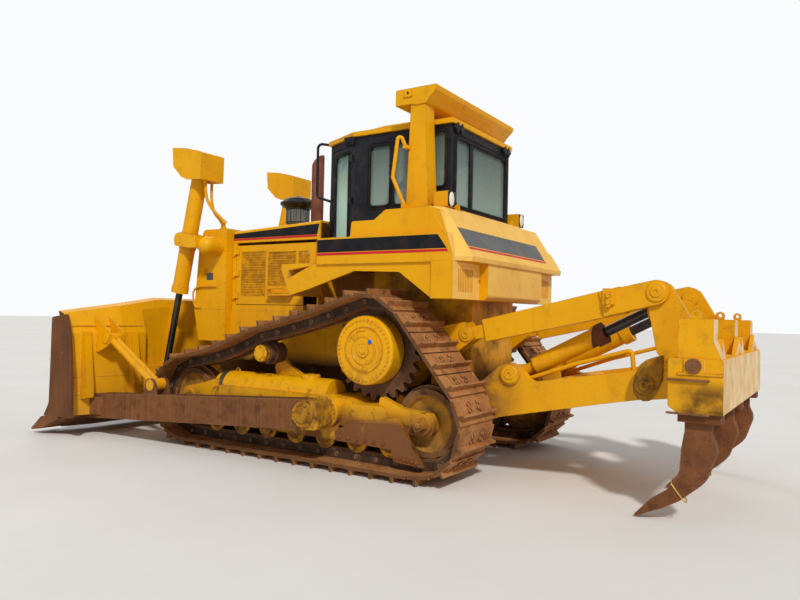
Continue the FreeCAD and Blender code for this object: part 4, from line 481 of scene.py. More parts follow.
def blade_coat():
    """Blade: yellow back, rust-brown end plates and a scoured brown front face."""
    coat = yellow_coat("blade_paint", grime=0.25, low_dirt=0.5, dirt_top=0.9)
    scour = coat.blend(coat.noise(3.0, 0.35, 0.65, shift=8.0), rgb(*RUST), rgb(*RUST_LIGHT))
    coat.layer(coat.facing("X", 0.2, 0.3), scour, 0.6)
    ends = coat.blend(coat.noise(6.0, 0.35, 0.7, stretch=(1.0, 1.0, 0.25), shift=5.0), rgb(116, 72, 40),
                      rgb(84, 52, 30))
    coat.layer(coat.outward(1.8185, 1.8195), ends, 0.75)
    return coat.done()


def beam_coat():
    """Ripper beam: yellow, with a pale rubbed rear face and an oily patch on each end."""
    coat = yellow_coat("beam_paint", grime=0.55, rust=0.8, low_dirt=0.2)
    cream = coat.blend(coat.noise(5.0, 0.35, 0.65, shift=3.0), rgb(236, 208, 164), rgb(214, 172, 108))
    rear = coat.both(coat.facing("X", -0.6, -0.9), coat.along("X", -3.25, -3.36))
    coat.layer(rear, cream, 0.6)
    marks = coat.noise(22.0, 0.6, 0.7, stretch=(1.0, 1.0, 0.2), shift=2.0)
    coat.layer(coat.both(rear, marks), (150, 112, 76), amount=0.6)
    ends = coat.both(coat.outward(1.09, 1.1), coat.along("Z", 1.0, 0.9))
    oily = coat.both(coat.along("X", -3.12, -3.24), coat.noise(7.0, 0.32, 0.6, shift=14.0))
    coat.layer(coat.both(ends, oily), (58, 38, 20), 0.7, amount=0.9)
    coat.layer(coat.both(ends, coat.noise(3.0, 0.45, 0.7, shift=5.0)), (150, 98, 22), 0.6, amount=0.6)
    coat.layer(coat.along("Z", 0.772, 0.766), RUST, 0.75)
    return coat.done()


def track_coat():
    """Track shoes: rust-brown steel with dust; faces that look sideways or forward are darker, partly oil
    and partly painted shade.
    """
    coat = rust_coat("track_shoe_rust", (152, 98, 54), (186, 130, 78), (84, 50, 28), polish=0.6)
    coat.layer(coat.noise(6.0, 0.5, 0.75, shift=15.0), (196, 146, 96), 0.8, amount=0.5)
    # painted shade, with some oil: faces that look to either side turn darker brown
    coat.layer(coat.sum("MAXIMUM", coat.facing("Y", 0.6, 0.8), coat.facing("Y", -0.6, -0.8)), (84, 54, 28),
               0.7, amount=0.75)
    # painted shade: across the shoes' width, faces that look forward turn darker brown
    inner = coat.both(coat.outward(1.285, 1.275), coat.outward(0.69, 0.70))
    coat.layer(coat.both(inner, coat.facing("X", 0.2, 0.5)), (74, 50, 30), 0.6, amount=0.6)
    return coat.done()


def idler_coat():
    """Idlers: dusty yellow dish inside a rusty tread, by the distance from each wheel's centre."""
    coat = rust_coat("idler_steel", (110, 72, 44), (138, 94, 58), (62, 42, 30), polish=0.5)
    centre = coat.add("ShaderNodeMath", operation="SUBTRACT")
    coat.join(coat.axes[0], centre.inputs[0])
    centre.inputs[1].default_value = 0.25
    mirror = coat.add("ShaderNodeMath", operation="ABSOLUTE")
    coat.join(centre.outputs[0], mirror.inputs[0])
    spot = coat.add("ShaderNodeCombineXYZ")
    coat.join(mirror.outputs[0], spot.inputs[0])
    coat.join(coat.axes[2], spot.inputs[2])
    far = coat.add("ShaderNodeVectorMath", operation="DISTANCE")
    coat.join(spot.outputs[0], far.inputs[0])
    far.inputs[1].default_value = (1.425, 0.0, 0.485)
    dish = coat.spread(far.outputs["Value"], 1.0, 0.0, 0.232, 0.24)
    paint = coat.blend(coat.noise(7.0, 0.4, 0.62, shift=4.0), rgb(196, 140, 40), rgb(150, 108, 56))
    coat.layer(dish, paint, 0.7)
    return coat.done()


def roller_coat():
    """Rollers: dark oily steel with yellow caps on the outer ends."""
    coat = rust_coat("roller_steel", (92, 66, 48), (116, 84, 58), (46, 34, 26), polish=0.4)
    caps = coat.outward(1.106, 1.11)
    paint = coat.blend(coat.noise(8.0, 0.4, 0.6), rgb(*YELLOW), rgb(*GRIME))
    coat.layer(caps, paint, 0.5)
    return coat.done()


def frame_coat():
    """Track frames: worn paint over much rust and oil, heavier towards the rear and below."""
    coat = yellow_coat("roller_frame_paint", grime=0.65, rust=0.9, low_dirt=0.75, wear=1.0, dirt_top=0.75)
    low = coat.both(coat.along("Z", 0.6, 0.44), coat.noise(3.2, 0.3, 0.5, shift=6.0))
    coat.layer(low, RUST, 0.8, amount=0.9)
    coat.layer(coat.noise(5.5, 0.58, 0.66, shift=13.0), OIL, 0.5, amount=0.7)
    plate = coat.both(coat.outward(1.196, 1.2), coat.along("Z", 0.5, 0.45))
    coat.layer(coat.both(plate, coat.noise(4.0, 0.25, 0.4)), (122, 78, 46), 0.8, amount=0.95)
    return coat.done()


def body_coat():
    """Main frame: yellow side rails above, oily casting below and behind."""
    coat = yellow_coat("body_paint", grime=0.5, low_dirt=0.6)
    below = coat.both(coat.along("Z", 0.98, 0.86), coat.noise(2.0, 0.2, 0.4))
    coat.layer(below, (66, 48, 32), 0.7, amount=0.85)
    rear = coat.both(coat.along("X", -0.2, -0.35), coat.noise(3.0, 0.4, 0.6, shift=2.0))
    coat.layer(rear, (74, 54, 34), 0.65, amount=0.8)
    return coat.done()


def ripper_coat():
    """Ripper frame: yellow, rusty towards the front foot."""
    coat = yellow_coat("ripper_paint", grime=0.35, rust=0.6, low_dirt=0.2)
    foot = coat.both(coat.along("X", -1.86, -1.55), coat.noise(4.0, 0.25, 0.5, shift=5.0))
    coat.layer(foot, (128, 82, 50), 0.75, amount=0.9)
    return coat.done()


def barrel_coat():
    """Ripper barrels: yellow with a rusty gland at the rod's end."""
    coat = yellow_coat("ripper_barrel_paint", grime=0.4)
    coat.layer(coat.both(coat.along("X", -2.355, -2.36), coat.along("Y", 0.0, 0.01)), (104, 62, 38), 0.7)
    return coat.done()


def arm_coat():
    """Push arms: rust-brown outer sides with upright scour marks and some paint left."""
    coat = rust_coat("push_arm_rust", (112, 70, 40), (136, 88, 50), (74, 44, 28), polish=0.4)
    coat.layer(coat.noise(16.0, 0.5, 0.8, stretch=(1.0, 1.0, 0.06), shift=12.0), (150, 98, 54), amount=0.5)
    coat.layer(coat.noise(40.0, 0.5, 0.7, stretch=(1.0, 1.0, 0.05), shift=17.0), (70, 42, 28), amount=0.5)
    coat.layer(coat.facing("Z", 0.8, 0.9), (96, 62, 36), 0.8, amount=0.7)
    paint = coat.blend(coat.noise(9.0, 0.35, 0.6, shift=19.0), rgb(204, 146, 34), rgb(112, 76, 30))
    coat.layer(coat.along("X", -0.182, -0.188), paint, 0.6)
    top = coat.both(coat.outward(1.519, 1.526), coat.facing("Z", 0.8, 0.9))
    coat.layer(coat.both(top, coat.noise(5.0, 0.35, 0.6, shift=3.0)), (206, 168, 112), 0.6, amount=0.85)
    return coat.done()


def rail_coat():
    """Handrails: yellow by the roll-over frame, black at the cab's front."""
    coat = yellow_coat("rail_paint", grime=0.3, rust=0.4)
    coat.layer(coat.along("X", 0.1, 0.12), (26, 27, 30), 0.4)
    return coat.done()


def cleaner_coat():
    """Air inlet: black cap over a smoky grey bowl."""
    coat = plain_coat("inlet_plastic", (24, 25, 28), (34, 35, 38), 0.35, dust=0.25)
    fins = coat.noise(46.0, 0.42, 0.58, detail=2.0, stretch=(1.0, 1.0, 0.05))
    bowl = coat.both(coat.along("Z", 2.61, 2.595), coat.along("Z", 2.405, 2.43))
    smoke = coat.blend(fins, rgb(62, 64, 66), rgb(112, 114, 112))
    coat.layer(bowl, smoke, 0.2)
    return coat.done()


def glass_coat(name, high, low, alpha, top=3.0, foot=2.45):
    """Tinted window glass, darker towards its top, mostly see-through."""
    coat = Coat(name, low, low, 0.08, scale=2.0)
    coat.layer(coat.along("Z", foot, top), high)
    coat.layer(coat.noise(2.5, 0.5, 0.8, shift=2.0), (150, 152, 138), 0.3, amount=0.15)
    coat.shader.inputs["Alpha"].default_value = alpha
    coat.shader.inputs["Specular IOR Level"].default_value = 0.6
    return coat.done()


def cloth_coat(name, base, second):
    """Seat cloth: fine woven relief, slight fading and a soft sheen."""
    coat = Coat(name, base, second, 0.85, scale=6.0)
    weave = coat.add("ShaderNodeTexWave")
    coat.join(coat.place, weave.inputs["Vector"])
    weave.inputs["Scale"].default_value = 160.0
    weave.inputs["Distortion"].default_value = 1.5
    coat.heights.append((weave.outputs[0], 0.0006))
    coat.relief(220.0, 0.0005)
    coat.shader.inputs["Sheen Weight"].default_value = 0.25
    return coat.done()


FINISH = {
    "yellow": yellow_coat("machine_paint").done(),
    "yellow_clean": yellow_coat("panel_paint", grime=0.22, rust=0.3, low_dirt=0.1, wear=0.5).done(),
    # tail paint: its rear-facing faces carry a painted highlight
    "tail_yellow": yellow_coat("tail_paint", grime=0.25, rust=0.3, low_dirt=0.1, wear=0.5,
                               painted_rear_highlight=(246, 200, 104)).done(),
    "yellow_dirty": yellow_coat("greasy_paint", grime=0.7, rust=0.8, low_dirt=0.5, wear=0.9).done(),
    "blade": blade_coat(),
    "beam": beam_coat(),
    "track": track_coat(),
    "idler": idler_coat(),
    "roller": roller_coat(),
    "frame": frame_coat(),
    "body": body_coat(),
    "ripper": ripper_coat(),
    "barrel": barrel_coat(),
    "arm": arm_coat(),
    "rail": rail_coat(),
    "cleaner": cleaner_coat(),
    "rust": rust_coat("worn_rust").done(),
    "shank": rust_coat("shank_rust", (112, 68, 40), (134, 86, 52), (72, 44, 30), polish=0.4).done(),
    "tooth": rust_coat("tooth_steel", (88, 60, 42), (120, 86, 60), (48, 34, 26), polish=0.8,
                       rough=0.5).done(),
    "stack": rust_coat("stack_rust", (122, 74, 58), (140, 88, 68), (92, 54, 42)).done(),
    "chain": rust_coat("chain_oil", (62, 45, 33), (92, 66, 46), (34, 26, 22), polish=0.5, rough=0.5).done(),
    "casting": plain_coat("dark_casting", (44, 39, 34), (62, 54, 46), 0.65, 0.2).done(),
    "greasy": rust_coat("greasy_casting", (150, 106, 30), (190, 134, 32), (60, 42, 22), paint=0.5).done(),
    "black": plain_coat("cab_black", (24, 26, 32), (34, 36, 42), 0.38, dust=0.14).done(),
    "rubber": plain_coat("seal_rubber", (16, 16, 17), (26, 26, 27), 0.6, dust=0.2).done(),
    "rod": plain_coat("rod_steel", (58, 56, 56), (84, 80, 78), 0.24, 0.9, dust=0.2,
                      dust_colour=(50, 42, 34)).done(),
    "steel": plain_coat("band_steel", (84, 84, 88), (112, 112, 114), 0.32, 0.7, dust=0.25).done(),
    "band": plain_coat("band_black", (18, 19, 24), (28, 29, 34), 0.3, dust=0.1).done(),
    "line": plain_coat("band_red", (196, 26, 40), (210, 44, 54), 0.3, dust=0.1).done(),
    "tail": plain_coat("band_grey", (84, 86, 88), (106, 107, 106), 0.35, dust=0.3).done(),
    "gold": plain_coat("retainer_brass", (206, 160, 80), (224, 184, 110), 0.4, 0.4).done(),
    "blue": plain_coat("plug_blue", (20, 92, 190), (34, 110, 205), 0.4, dust=0.1).done(),
    "lens": plain_coat("lamp_lens", (222, 220, 210), (236, 234, 226), 0.12, dust=0.1).done(),
    "glass": glass_coat("window_glass", (104, 120, 114), (164, 186, 174), 0.58),
    "door_glass": glass_coat("door_glass", (128, 160, 152), (208, 246, 232), 0.78, 2.95, 2.5),
    "cloth": cloth_coat("seat_cloth", (38, 38, 42), (50, 50, 54)),
}

# finish: the nodes that wear it
NODES_IN = {
    "track": "track_left track_right",
    "idler": "idlers",
    "roller": "rollers",
    "tooth": "sprockets",
    "yellow_dirty": "final_drives ripper_mount tilt_braces",
    "frame": "track_frames",
    "body": "main_frame",
    "casting": "engine_block radiator_grille",
    "yellow_clean": "radiator_guard hood engine_door_left engine_door_right",
    "stack": "exhaust_stack",
    "cleaner": "air_precleaner",
    "black": "cab_shell cab_door_left cab_door_right cab_controls",
    "door_glass": "door_glass_left door_glass_right",
    "glass": "cab_glass",
    "yellow": ("cab_roof rops rear_lamps lift_yokes lift_hoses_left lift_hoses_right "
               "lift_barrel_left lift_barrel_right lamp_guard_left lamp_guard_right "
               "ripper_links"),
    "tail_yellow": "fenders rear_tank",
    "rail": "handrails",
    "blade": "blade",
    "rust": "blade_pins",
    "shank": "cutting_edge ripper_shanks",
    "arm": "push_arms",
    "rod": "lift_rod_left lift_rod_right ripper_rods",
    "ripper": "ripper_frame",
    "beam": "ripper_beam",
    "barrel": "ripper_barrels",
    "cloth": "seat",
}


def dress_nodes():
    """Gives every node of the frame its finish."""
    for finish, names in NODES_IN.items():
        for name in names.split():
            piece = NODES[name]
            if not piece.material_slots:
                piece.data.materials.append(FINISH[finish])
            for held in piece.material_slots:
                held.material = FINISH[finish]


CYLINDER_Y = 760
HOSE_R = 17
# x, place outwards from the lift cylinder, z, from the barrel's head down to the guard's top
HOSE_ROUTES = {
    "inner": (0.505, [(1712, -72, 2850), (1722, -76, 2700), (1712, -84, 2580), (1690, -100, 2490),
                      (1652, -134, 2432), (1618, -158, 2382)]),
    "outer": (0.515, [(1690, 40, 2830), (1695, 34, 2730), (1690, 10, 2620), (1650, -45, 2510),
                      (1603, -104, 2444), (1566, -138, 2388)]),
}
# bent pipes from the barrel's head to each hose's upper end
HEAD_PIPES = [[(1796, -52, 2892), (1722, -70, 2900), (1710, -72, 2890), (1711, -72, 2846)],
              [(1796, 40, 2872), (1704, 40, 2880), (1689, 40, 2868), (1690, 40, 2826)]]


def build_hoses():
    """Lift cylinder hoses as splines along their routes, with bent head pipes and end collars."""
    for name, side in SIGNS:
        body, node = "lift_cylinder_" + name, "lift_hoses_" + name
        ends = []
        for place, (length, route) in HOSE_ROUTES.items():
            spots = metres([(x, side * (CYLINDER_Y + out), z) for x, out, z in route])
            curve = bpy.data.curves.new("lift_hose_%s_%s" % (place, name), "CURVE")
            curve.dimensions = "3D"
            curve.bevel_depth = HOSE_R / 1000
            curve.bevel_resolution = 3
            curve.use_fill_caps = True
            spline = curve.splines.new("NURBS")
            spline.points.add(len(spots) - 1)
            spline.points.foreach_set("co",
                                      np.append(spots, np.ones((len(spots), 1)),
                                                axis=1).astype(np.float32).ravel())
            spline.order_u = 3
            spline.use_endpoint_u = True
            hose = bpy.data.objects.new(curve.name, curve)
            bpy.context.scene.collection.objects.link(hose)
            curve.materials.append(FINISH["yellow"])
            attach(hose, body)
            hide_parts(node)
            for spot, after in ((spots[0], spots[1]), (spots[-1], spots[-2])):
                ends.append(revolve([(20, -22), (23, -20), (23, 26), (18, 30)], spot, after - spot, 16))
        for route in HEAD_PIPES:
            ends.append(bent([(x, side * (CYLINDER_Y + out), z) for x, out, z in route], 15, 12, rounds=2))
        put("hose_fittings_" + name, merged(ends), "yellow_dirty", body=body)


RIM_STEPS = 64


def cushion(centre, across, ahead, up, sizes, crown, seams=()):
    """Stuffed form: rim * share of the way out, its height crown * (1 - share^6)^0.5 either side of a seam.

    The rim is |cos t|^0.4 and |sin t|^0.4 with their signs, so that its corners are rounded.
    The side pulls in at the seam line by a tenth of the crown, and each seam presses a groove across.
    """
    share = np.concatenate([np.linspace(0, 0.9, 9), [0.95, 0.98, 0.995, 1]])
    turn = np.arange(RIM_STEPS) * 2 * np.pi / RIM_STEPS
    round_trip = np.stack([np.cos(turn), np.sin(turn)])
    rim = np.sign(round_trip) * np.abs(round_trip) ** 0.4
    ahead, across, up = np.array(ahead) * sizes[0], np.array(across) * sizes[1], np.array(up)
    bulge = np.sqrt(np.clip(1 - share ** 6, 0, 1))
    rows = []
    for face in (1, -1):
        flat = share[:, None,
                     None] * rim[None] * (1 + 0.05 * np.sin(np.pi * share) ** 2 * (share > 0.9))[:, None,
                         None]
        dome = 0.86 + 0.14 * np.cos(flat[:, 0] * 1.5) * np.cos(flat[:, 1] * 1.5)
        height = face * crown * bulge[:, None] * dome
        for seam in seams:
            height = height - face * crown * 0.16 * np.exp(-((flat[:, 0] - seam) / 0.05) ** 2) * bulge[:,
                None]
        spots = flat[:, 0, :, None] * ahead + flat[:, 1, :, None] * across + height[..., None] * up
        rows.append(spots if face > 0 else spots[::-1][1:])
    grid = np.concatenate(rows)
    count = len(grid)
    points = metres((np.array(centre) + grid).reshape(-1, 3))
    base = np.arange(count * RIM_STEPS).reshape(count, RIM_STEPS)
    after = np.roll(base, -1, axis=1)
    quads = walls(base[1:-1])
    top = np.stack([np.full(RIM_STEPS, base[0, 0]), base[1], after[1]], axis=-1)
    foot = np.stack([np.full(RIM_STEPS, base[-1, 0]), after[-2], base[-2]], axis=-1)
    used = np.concatenate([[base[0, 0]], base[1:-1].ravel(), [base[-1, 0]]])
    place = np.zeros(count * RIM_STEPS, dtype=int)
    place[used] = np.arange(len(used))
    edge = (rim[0, :, None] * ahead + rim[1, :, None] * across) * 1.004
    piping = sweep(metres(np.array(centre) + edge), 6, 6, closed=True)
    return (points[used], [place[quads], place[top], place[foot]]), piping


def build_seat():
    """Seat with crowned cushion, back and arm rests in cloth, piped seams, a pedestal and arm struts."""
    lean = (-0.13, 0, 0.99)
    table = [("seat_cushion", (-592, 0, 2212), OUT_LEFT, (1, 0, 0.04), UP, (262, 246), 56, (-0.45, 0.45)),
             ("seat_back", (-908, 0, 2520), OUT_LEFT, lean, (0.99, 0, 0.13), (286, 236), 50, (-0.4, 0.3)),
             ("arm_rest_left", (-670, 300, 2357), OUT_LEFT, AHEAD, UP, (186, 34), 27, ()),
             ("arm_rest_right", (-670, -300, 2357), OUT_LEFT, AHEAD, UP, (186, 34), 27, ())]
    pipings = []
    for name, centre, across, ahead, rise, sizes, crown, seams in table:
        form, piping = cushion(centre, across, ahead, rise, sizes, crown, seams)
        piece = put(name, form, "cloth", crease=60)
        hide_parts("seat")
        pipings.append(piping)
    put("seat_piping", merged(pipings), "rubber")
    plinth = slab([(-810, 2030), (-430, 2030), (-450, 2120), (-400, 2158), (-800, 2158), (-780, 2120)],
                  "y", -170, 170)
    strut = [(-880, 2190), (-820, 2190), (-790, 2335), (-840, 2335)]
    struts = merged([slab(strut, "y", y - 20, y + 20) for y in (300, -300)])
    frame_bars = slab([(-850, 2160), (-350, 2160), (-350, 2180), (-850, 2180)], "y", -225, 225)
    put("seat_frame", merged([plinth, struts, frame_bars]), "black", bevel=0.004)


# Stage: a plain pale floor, a white surround and soft light.


def build_stage():
    """Floor, world and lamps at a level at which colours show about as they are written."""
    points = FLOOR_HALF * np.array([[-1, -1, 0], [1, -1, 0], [1, 1, 0], [-1, 1, 0]])
    mesh = bpy.data.meshes.new("floor")
    mesh.from_pydata(points.tolist(), [], [[0, 1, 2, 3]])
    floor = bpy.data.objects.new("floor", mesh)
    bpy.context.scene.collection.objects.link(floor)
    coat = Coat("floor_pale", (226, 224, 220), (232, 230, 227), 0.85, scale=0.4)
    mesh.materials.append(coat.done())
    world = bpy.data.worlds.new("surround")
    bpy.context.scene.world = world
    world.use_nodes = True
    tree = world.node_tree
    light = tree.nodes["Background"]
    light.inputs[0].default_value = (0.93, 0.96, 1, 1)
    light.inputs[1].default_value = 0.46
    white = tree.nodes.new("ShaderNodeBackground")
    white.inputs[0].default_value = (0.96, 0.97, 0.98, 1)
    white.inputs[1].default_value = 1
    rays = tree.nodes.new("ShaderNodeLightPath")
    seen = tree.nodes.new("ShaderNodeMath")
    seen.operation = "MAXIMUM"
    tree.links.new(rays.outputs["Is Camera Ray"], seen.inputs[0])
    tree.links.new(rays.outputs["Is Transmission Ray"], seen.inputs[1])
    mix = tree.nodes.new("ShaderNodeMixShader")
    tree.links.new(seen.outputs[0], mix.inputs[0])
    tree.links.new(light.outputs[0], mix.inputs[1])
    tree.links.new(white.outputs[0], mix.inputs[2])
    tree.links.new(mix.outputs[0], tree.nodes["World Output"].inputs[0])
    # name, direction towards the lamp, strength, soft angle in degrees
    for name, way, strength, spread in (("key", (-0.56, 0.62, 0.72), 2.25, 5),
                                        ("fill", (0.7, -0.6, 0.6), 0.4, 30)):
        lamp = bpy.data.lights.new(name, "SUN")
        lamp.energy = strength
        lamp.angle = math.radians(spread)
        lamp.color = (1, 0.97, 0.92)
        held = bpy.data.objects.new(name, lamp)
        bpy.context.scene.collection.objects.link(held)
        back = np.array(way) / np.linalg.norm(way)
        side = np.cross(UP, back)
        side /= np.linalg.norm(side)
        toward = Matrix((side, np.cross(back, side), back)).transposed()
        held.matrix_world = toward.to_4x4()


# Track details.

TRACK_Y = 990.5
SHOE_COUNT = 39
SHOE_FACE = 72
RAIL_OUT = 107
BAR_HALF = 43
# x, z, reach, sag of the run that comes in
WHEELS = [(1435, 485, 363, 0), (436, 982, 173, 45),
          (-850, 1072, 430, 22), (-1415, 485, 363, 0)]


def chain_line():
    """The chain's pin line: an arc round each wheel, and between them straight or sagging runs.

    A sagging run drops by 4 * sag * t * (1 - t) and never enters a wheel's reach.
    """
    wheels = np.array(WHEELS)
    after = np.roll(wheels, -1, axis=0)
    run = after[:, :2] - wheels[:, :2]
    lean = np.arcsin((wheels[:, 2] - after[:, 2]) / np.linalg.norm(run, axis=1))
    heading = (np.arctan2(run[:, 1], run[:, 0]) + lean) % (2 * math.pi)
    parts = []
    for i, (x, z, reach, _) in enumerate(WHEELS):
        start = heading[i - 1] - math.pi / 2
        turn = (heading[i] - heading[i - 1]) % (2 * math.pi)
        turn = 0 if turn > math.pi * 1.5 else turn
        steps = max(1, int(round(turn / math.radians(2))))
        angle = start + turn * np.arange(steps + 1) / steps
        arc = np.stack([x + reach * np.cos(angle), z + reach * np.sin(angle)], axis=1)
        parts.append(arc)
        sag = after[i, 3]
        if sag > 0:
            way = heading[i] - math.pi / 2
            end = after[i, :2] + after[i, 2] * np.array([math.cos(way), math.sin(way)])
            t = (np.arange(1, 24) / 24)[:, None]
            spots = arc[-1] + (end - arc[-1]) * t - np.array([0, 4 * sag]) * t * (1 - t)
            for centre, keep in ((np.array([x, z]), reach), (after[i, :2], after[i, 2])):
                off = np.linalg.norm(spots - centre, axis=1, keepdims=True)
                spots = np.where(off < keep, centre + (spots - centre) * keep / off, spots)
            parts.append(spots)
    return np.concatenate(parts)


def chain_pins():
    """Pins an equal straight length apart round the chain's line, found by halving the interval."""
    line = chain_line()
    line = np.concatenate([line, line[:1]])
    marks = np.concatenate([[0], np.cumsum(np.linalg.norm(np.diff(line, axis=0), axis=1))])
    total = marks[-1]

    def spot(distance):
        """Place at a distance along the line."""
        distance = distance % total
        return np.array([np.interp(distance, marks, line[:, 0]), np.interp(distance, marks, line[:, 1])])

    def walk(pitch):
        """Distances of the pins for one pitch."""
        stops = [0]
        for _ in range(SHOE_COUNT):
            low, high = stops[-1] + pitch * 0.9, stops[-1] + pitch * 1.3
            for _ in range(34):
                middle = (low + high) / 2
                if np.linalg.norm(spot(stops[-1]) - spot(middle)) < pitch:
                    low = middle
                else:
                    high = middle
            stops.append(low)
        return stops

    low, high = total / SHOE_COUNT * 0.95, total / SHOE_COUNT
    for _ in range(26):
        pitch = (low + high) / 2
        if walk(pitch)[-1] > total:
            high = pitch
        else:
            low = pitch
    return np.array([spot(distance) for distance in walk(low)[:-1]])


PINS = chain_pins()
LINK = np.roll(PINS, -1, axis=0) - PINS
LINK_LENGTH = np.linalg.norm(LINK, axis=1, keepdims=True)
LINK_ALONG = LINK / LINK_LENGTH
LINK_OUT = np.stack([LINK_ALONG[:, 1], -LINK_ALONG[:, 0]], axis=1)


def on_links(share, out, y):
    """Places on every link: pin + along * length * share + outward * out, at one y."""
    flat = PINS + LINK_ALONG * LINK_LENGTH * share + LINK_OUT * out
    return metres(columns(flat[:, 0], y, flat[:, 1]))


def shoe_bolts():
    """Four hexagon heads on every shoe's plate, in front of its grouser."""
    heads = []
    outward = columns(LINK_OUT[:, 0], 0, LINK_OUT[:, 1])
    for share in (0.20, 0.44):
        for y in (-98, -58, 58, 98):
            spots = on_links(share + (0.06 if abs(y) > 80 else 0), SHOE_FACE - 1, TRACK_Y + y)
            heads.append(revolve([(15, 0), (15, 12), (11, 15)], spots, outward, 6))
    return heads


def chain_links():
    """Side bars of the chain: long ovals from pin to pin, in two layers by turns, with pin ends."""
    turn = np.linspace(0, math.pi, 7)
    front = BAR_HALF * (LINK_ALONG[:, None] * np.sin(turn)[:, None] + LINK_OUT[:, None] * np.cos(turn)[:,
        None])
    oval = np.concatenate([np.roll(PINS, -1, axis=0)[:, None] + front, PINS[:, None] - front], axis=1)
    bars, ends = [], []
    for side in (-1, 1):
        face = TRACK_Y + side * RAIL_OUT
        lift = np.where(np.arange(SHOE_COUNT) % 2 == 0, 3, 7)
        depth = np.stack([np.full(SHOE_COUNT, face - side * 1), face + side * lift], axis=1)[..., None]
        points = columns(oval[:, None, :, 0], depth, oval[:, None, :, 1])
        base = np.arange(points[..., 0].size).reshape(points.shape[:-1])
        bars.append((metres(points.reshape(-1, 3)), [walls(base), base[:, 0], base[:, 1]]))
        spots = on_links(0, 0, face)
        ends.append(revolve([(25, 0), (25, 13), (21, 16), (12, 16), (10, 13)], spots, (0, side, 0), 12))
    return bars, ends


def build_tracks():
    """Shoe bolts, chain side bars and pin ends of both tracks."""
    bolts = merged(shoe_bolts())
    bars, ends = chain_links()
    for name, fit in FITS:
        put("shoe_bolts_" + name, fit(bolts), "track")
        put("chain_bars_" + name, fit(merged(bars)), "chain")
        put("chain_pin_ends_" + name, fit(merged(ends)), "tooth")


def ring_places(x, z, y, radius, count, first=0):
    """Places on a circle round a Y axis: centre + radius * (cos t, sin t)."""
    turn = np.radians(first) + np.arange(count) * 2 * np.pi / count
    return metres(columns(x + radius * np.cos(turn), y, z + radius * np.sin(turn)))


HOOD_FACE = 552
GUARD_FACE = 640
GUARD_TOP = 2310
BOX_FACE = 1116
DRIVE_FACE = 1225
DRIVE = (-850, 1072)
TRUNNION = (-450, 515)
IDLER_Z = 485
IDLER_X = (1435, -1415)
END_PLATE = 1819
HEX = [(11, -1), (11, 7), (9, 9)]
BIG_HEX = [(17, -1), (17, 11), (14, 14)]


def build_drives():
    """Final drive covers: bolt circle, inner rings, arc grooves, filler plugs and centre boss."""
    (x, z), face = DRIVE, DRIVE_FACE
    bolts = revolve(HEX, ring_places(x, z, face, 262, 40), OUT_LEFT, 6)
    inner = peg([(128, -1), (128, 5), (122, 9), (116, 9), (112, 5)], [(x, face, z)], 48)
    boss = peg([(62, 10), (58, 18), (34, 18), (30, 24), (12, 24)], [(x, face, z)], 32)
    plugs = peg([(30, -1), (30, 8), (24, 11), (15, 11), (13, 7)],
                [(x + 95, face, z + 118), (x - 20, face, z - 150)], 20)
    pockets = []
    for first, last in ((25, 95), (145, 215), (265, 335)):
        arc = np.radians(np.linspace(first, last, 14))
        groove = columns(x + 172 * np.cos(arc), face + 1, z + 172 * np.sin(arc))
        pockets.append(sweep(metres(groove), 7, 8))
    boss = merged([boss] + pockets)
    blue = peg([(19, -1), (19, 16), (15, 20)], [(x - 72, face, z + 78)], 12)
    put("drive_bolts", pair(bolts), "yellow_dirty")
    put("drive_rings", pair(merged([inner, boss, plugs])), "yellow_dirty")
    put("drive_plugs", pair(blue), "blue")


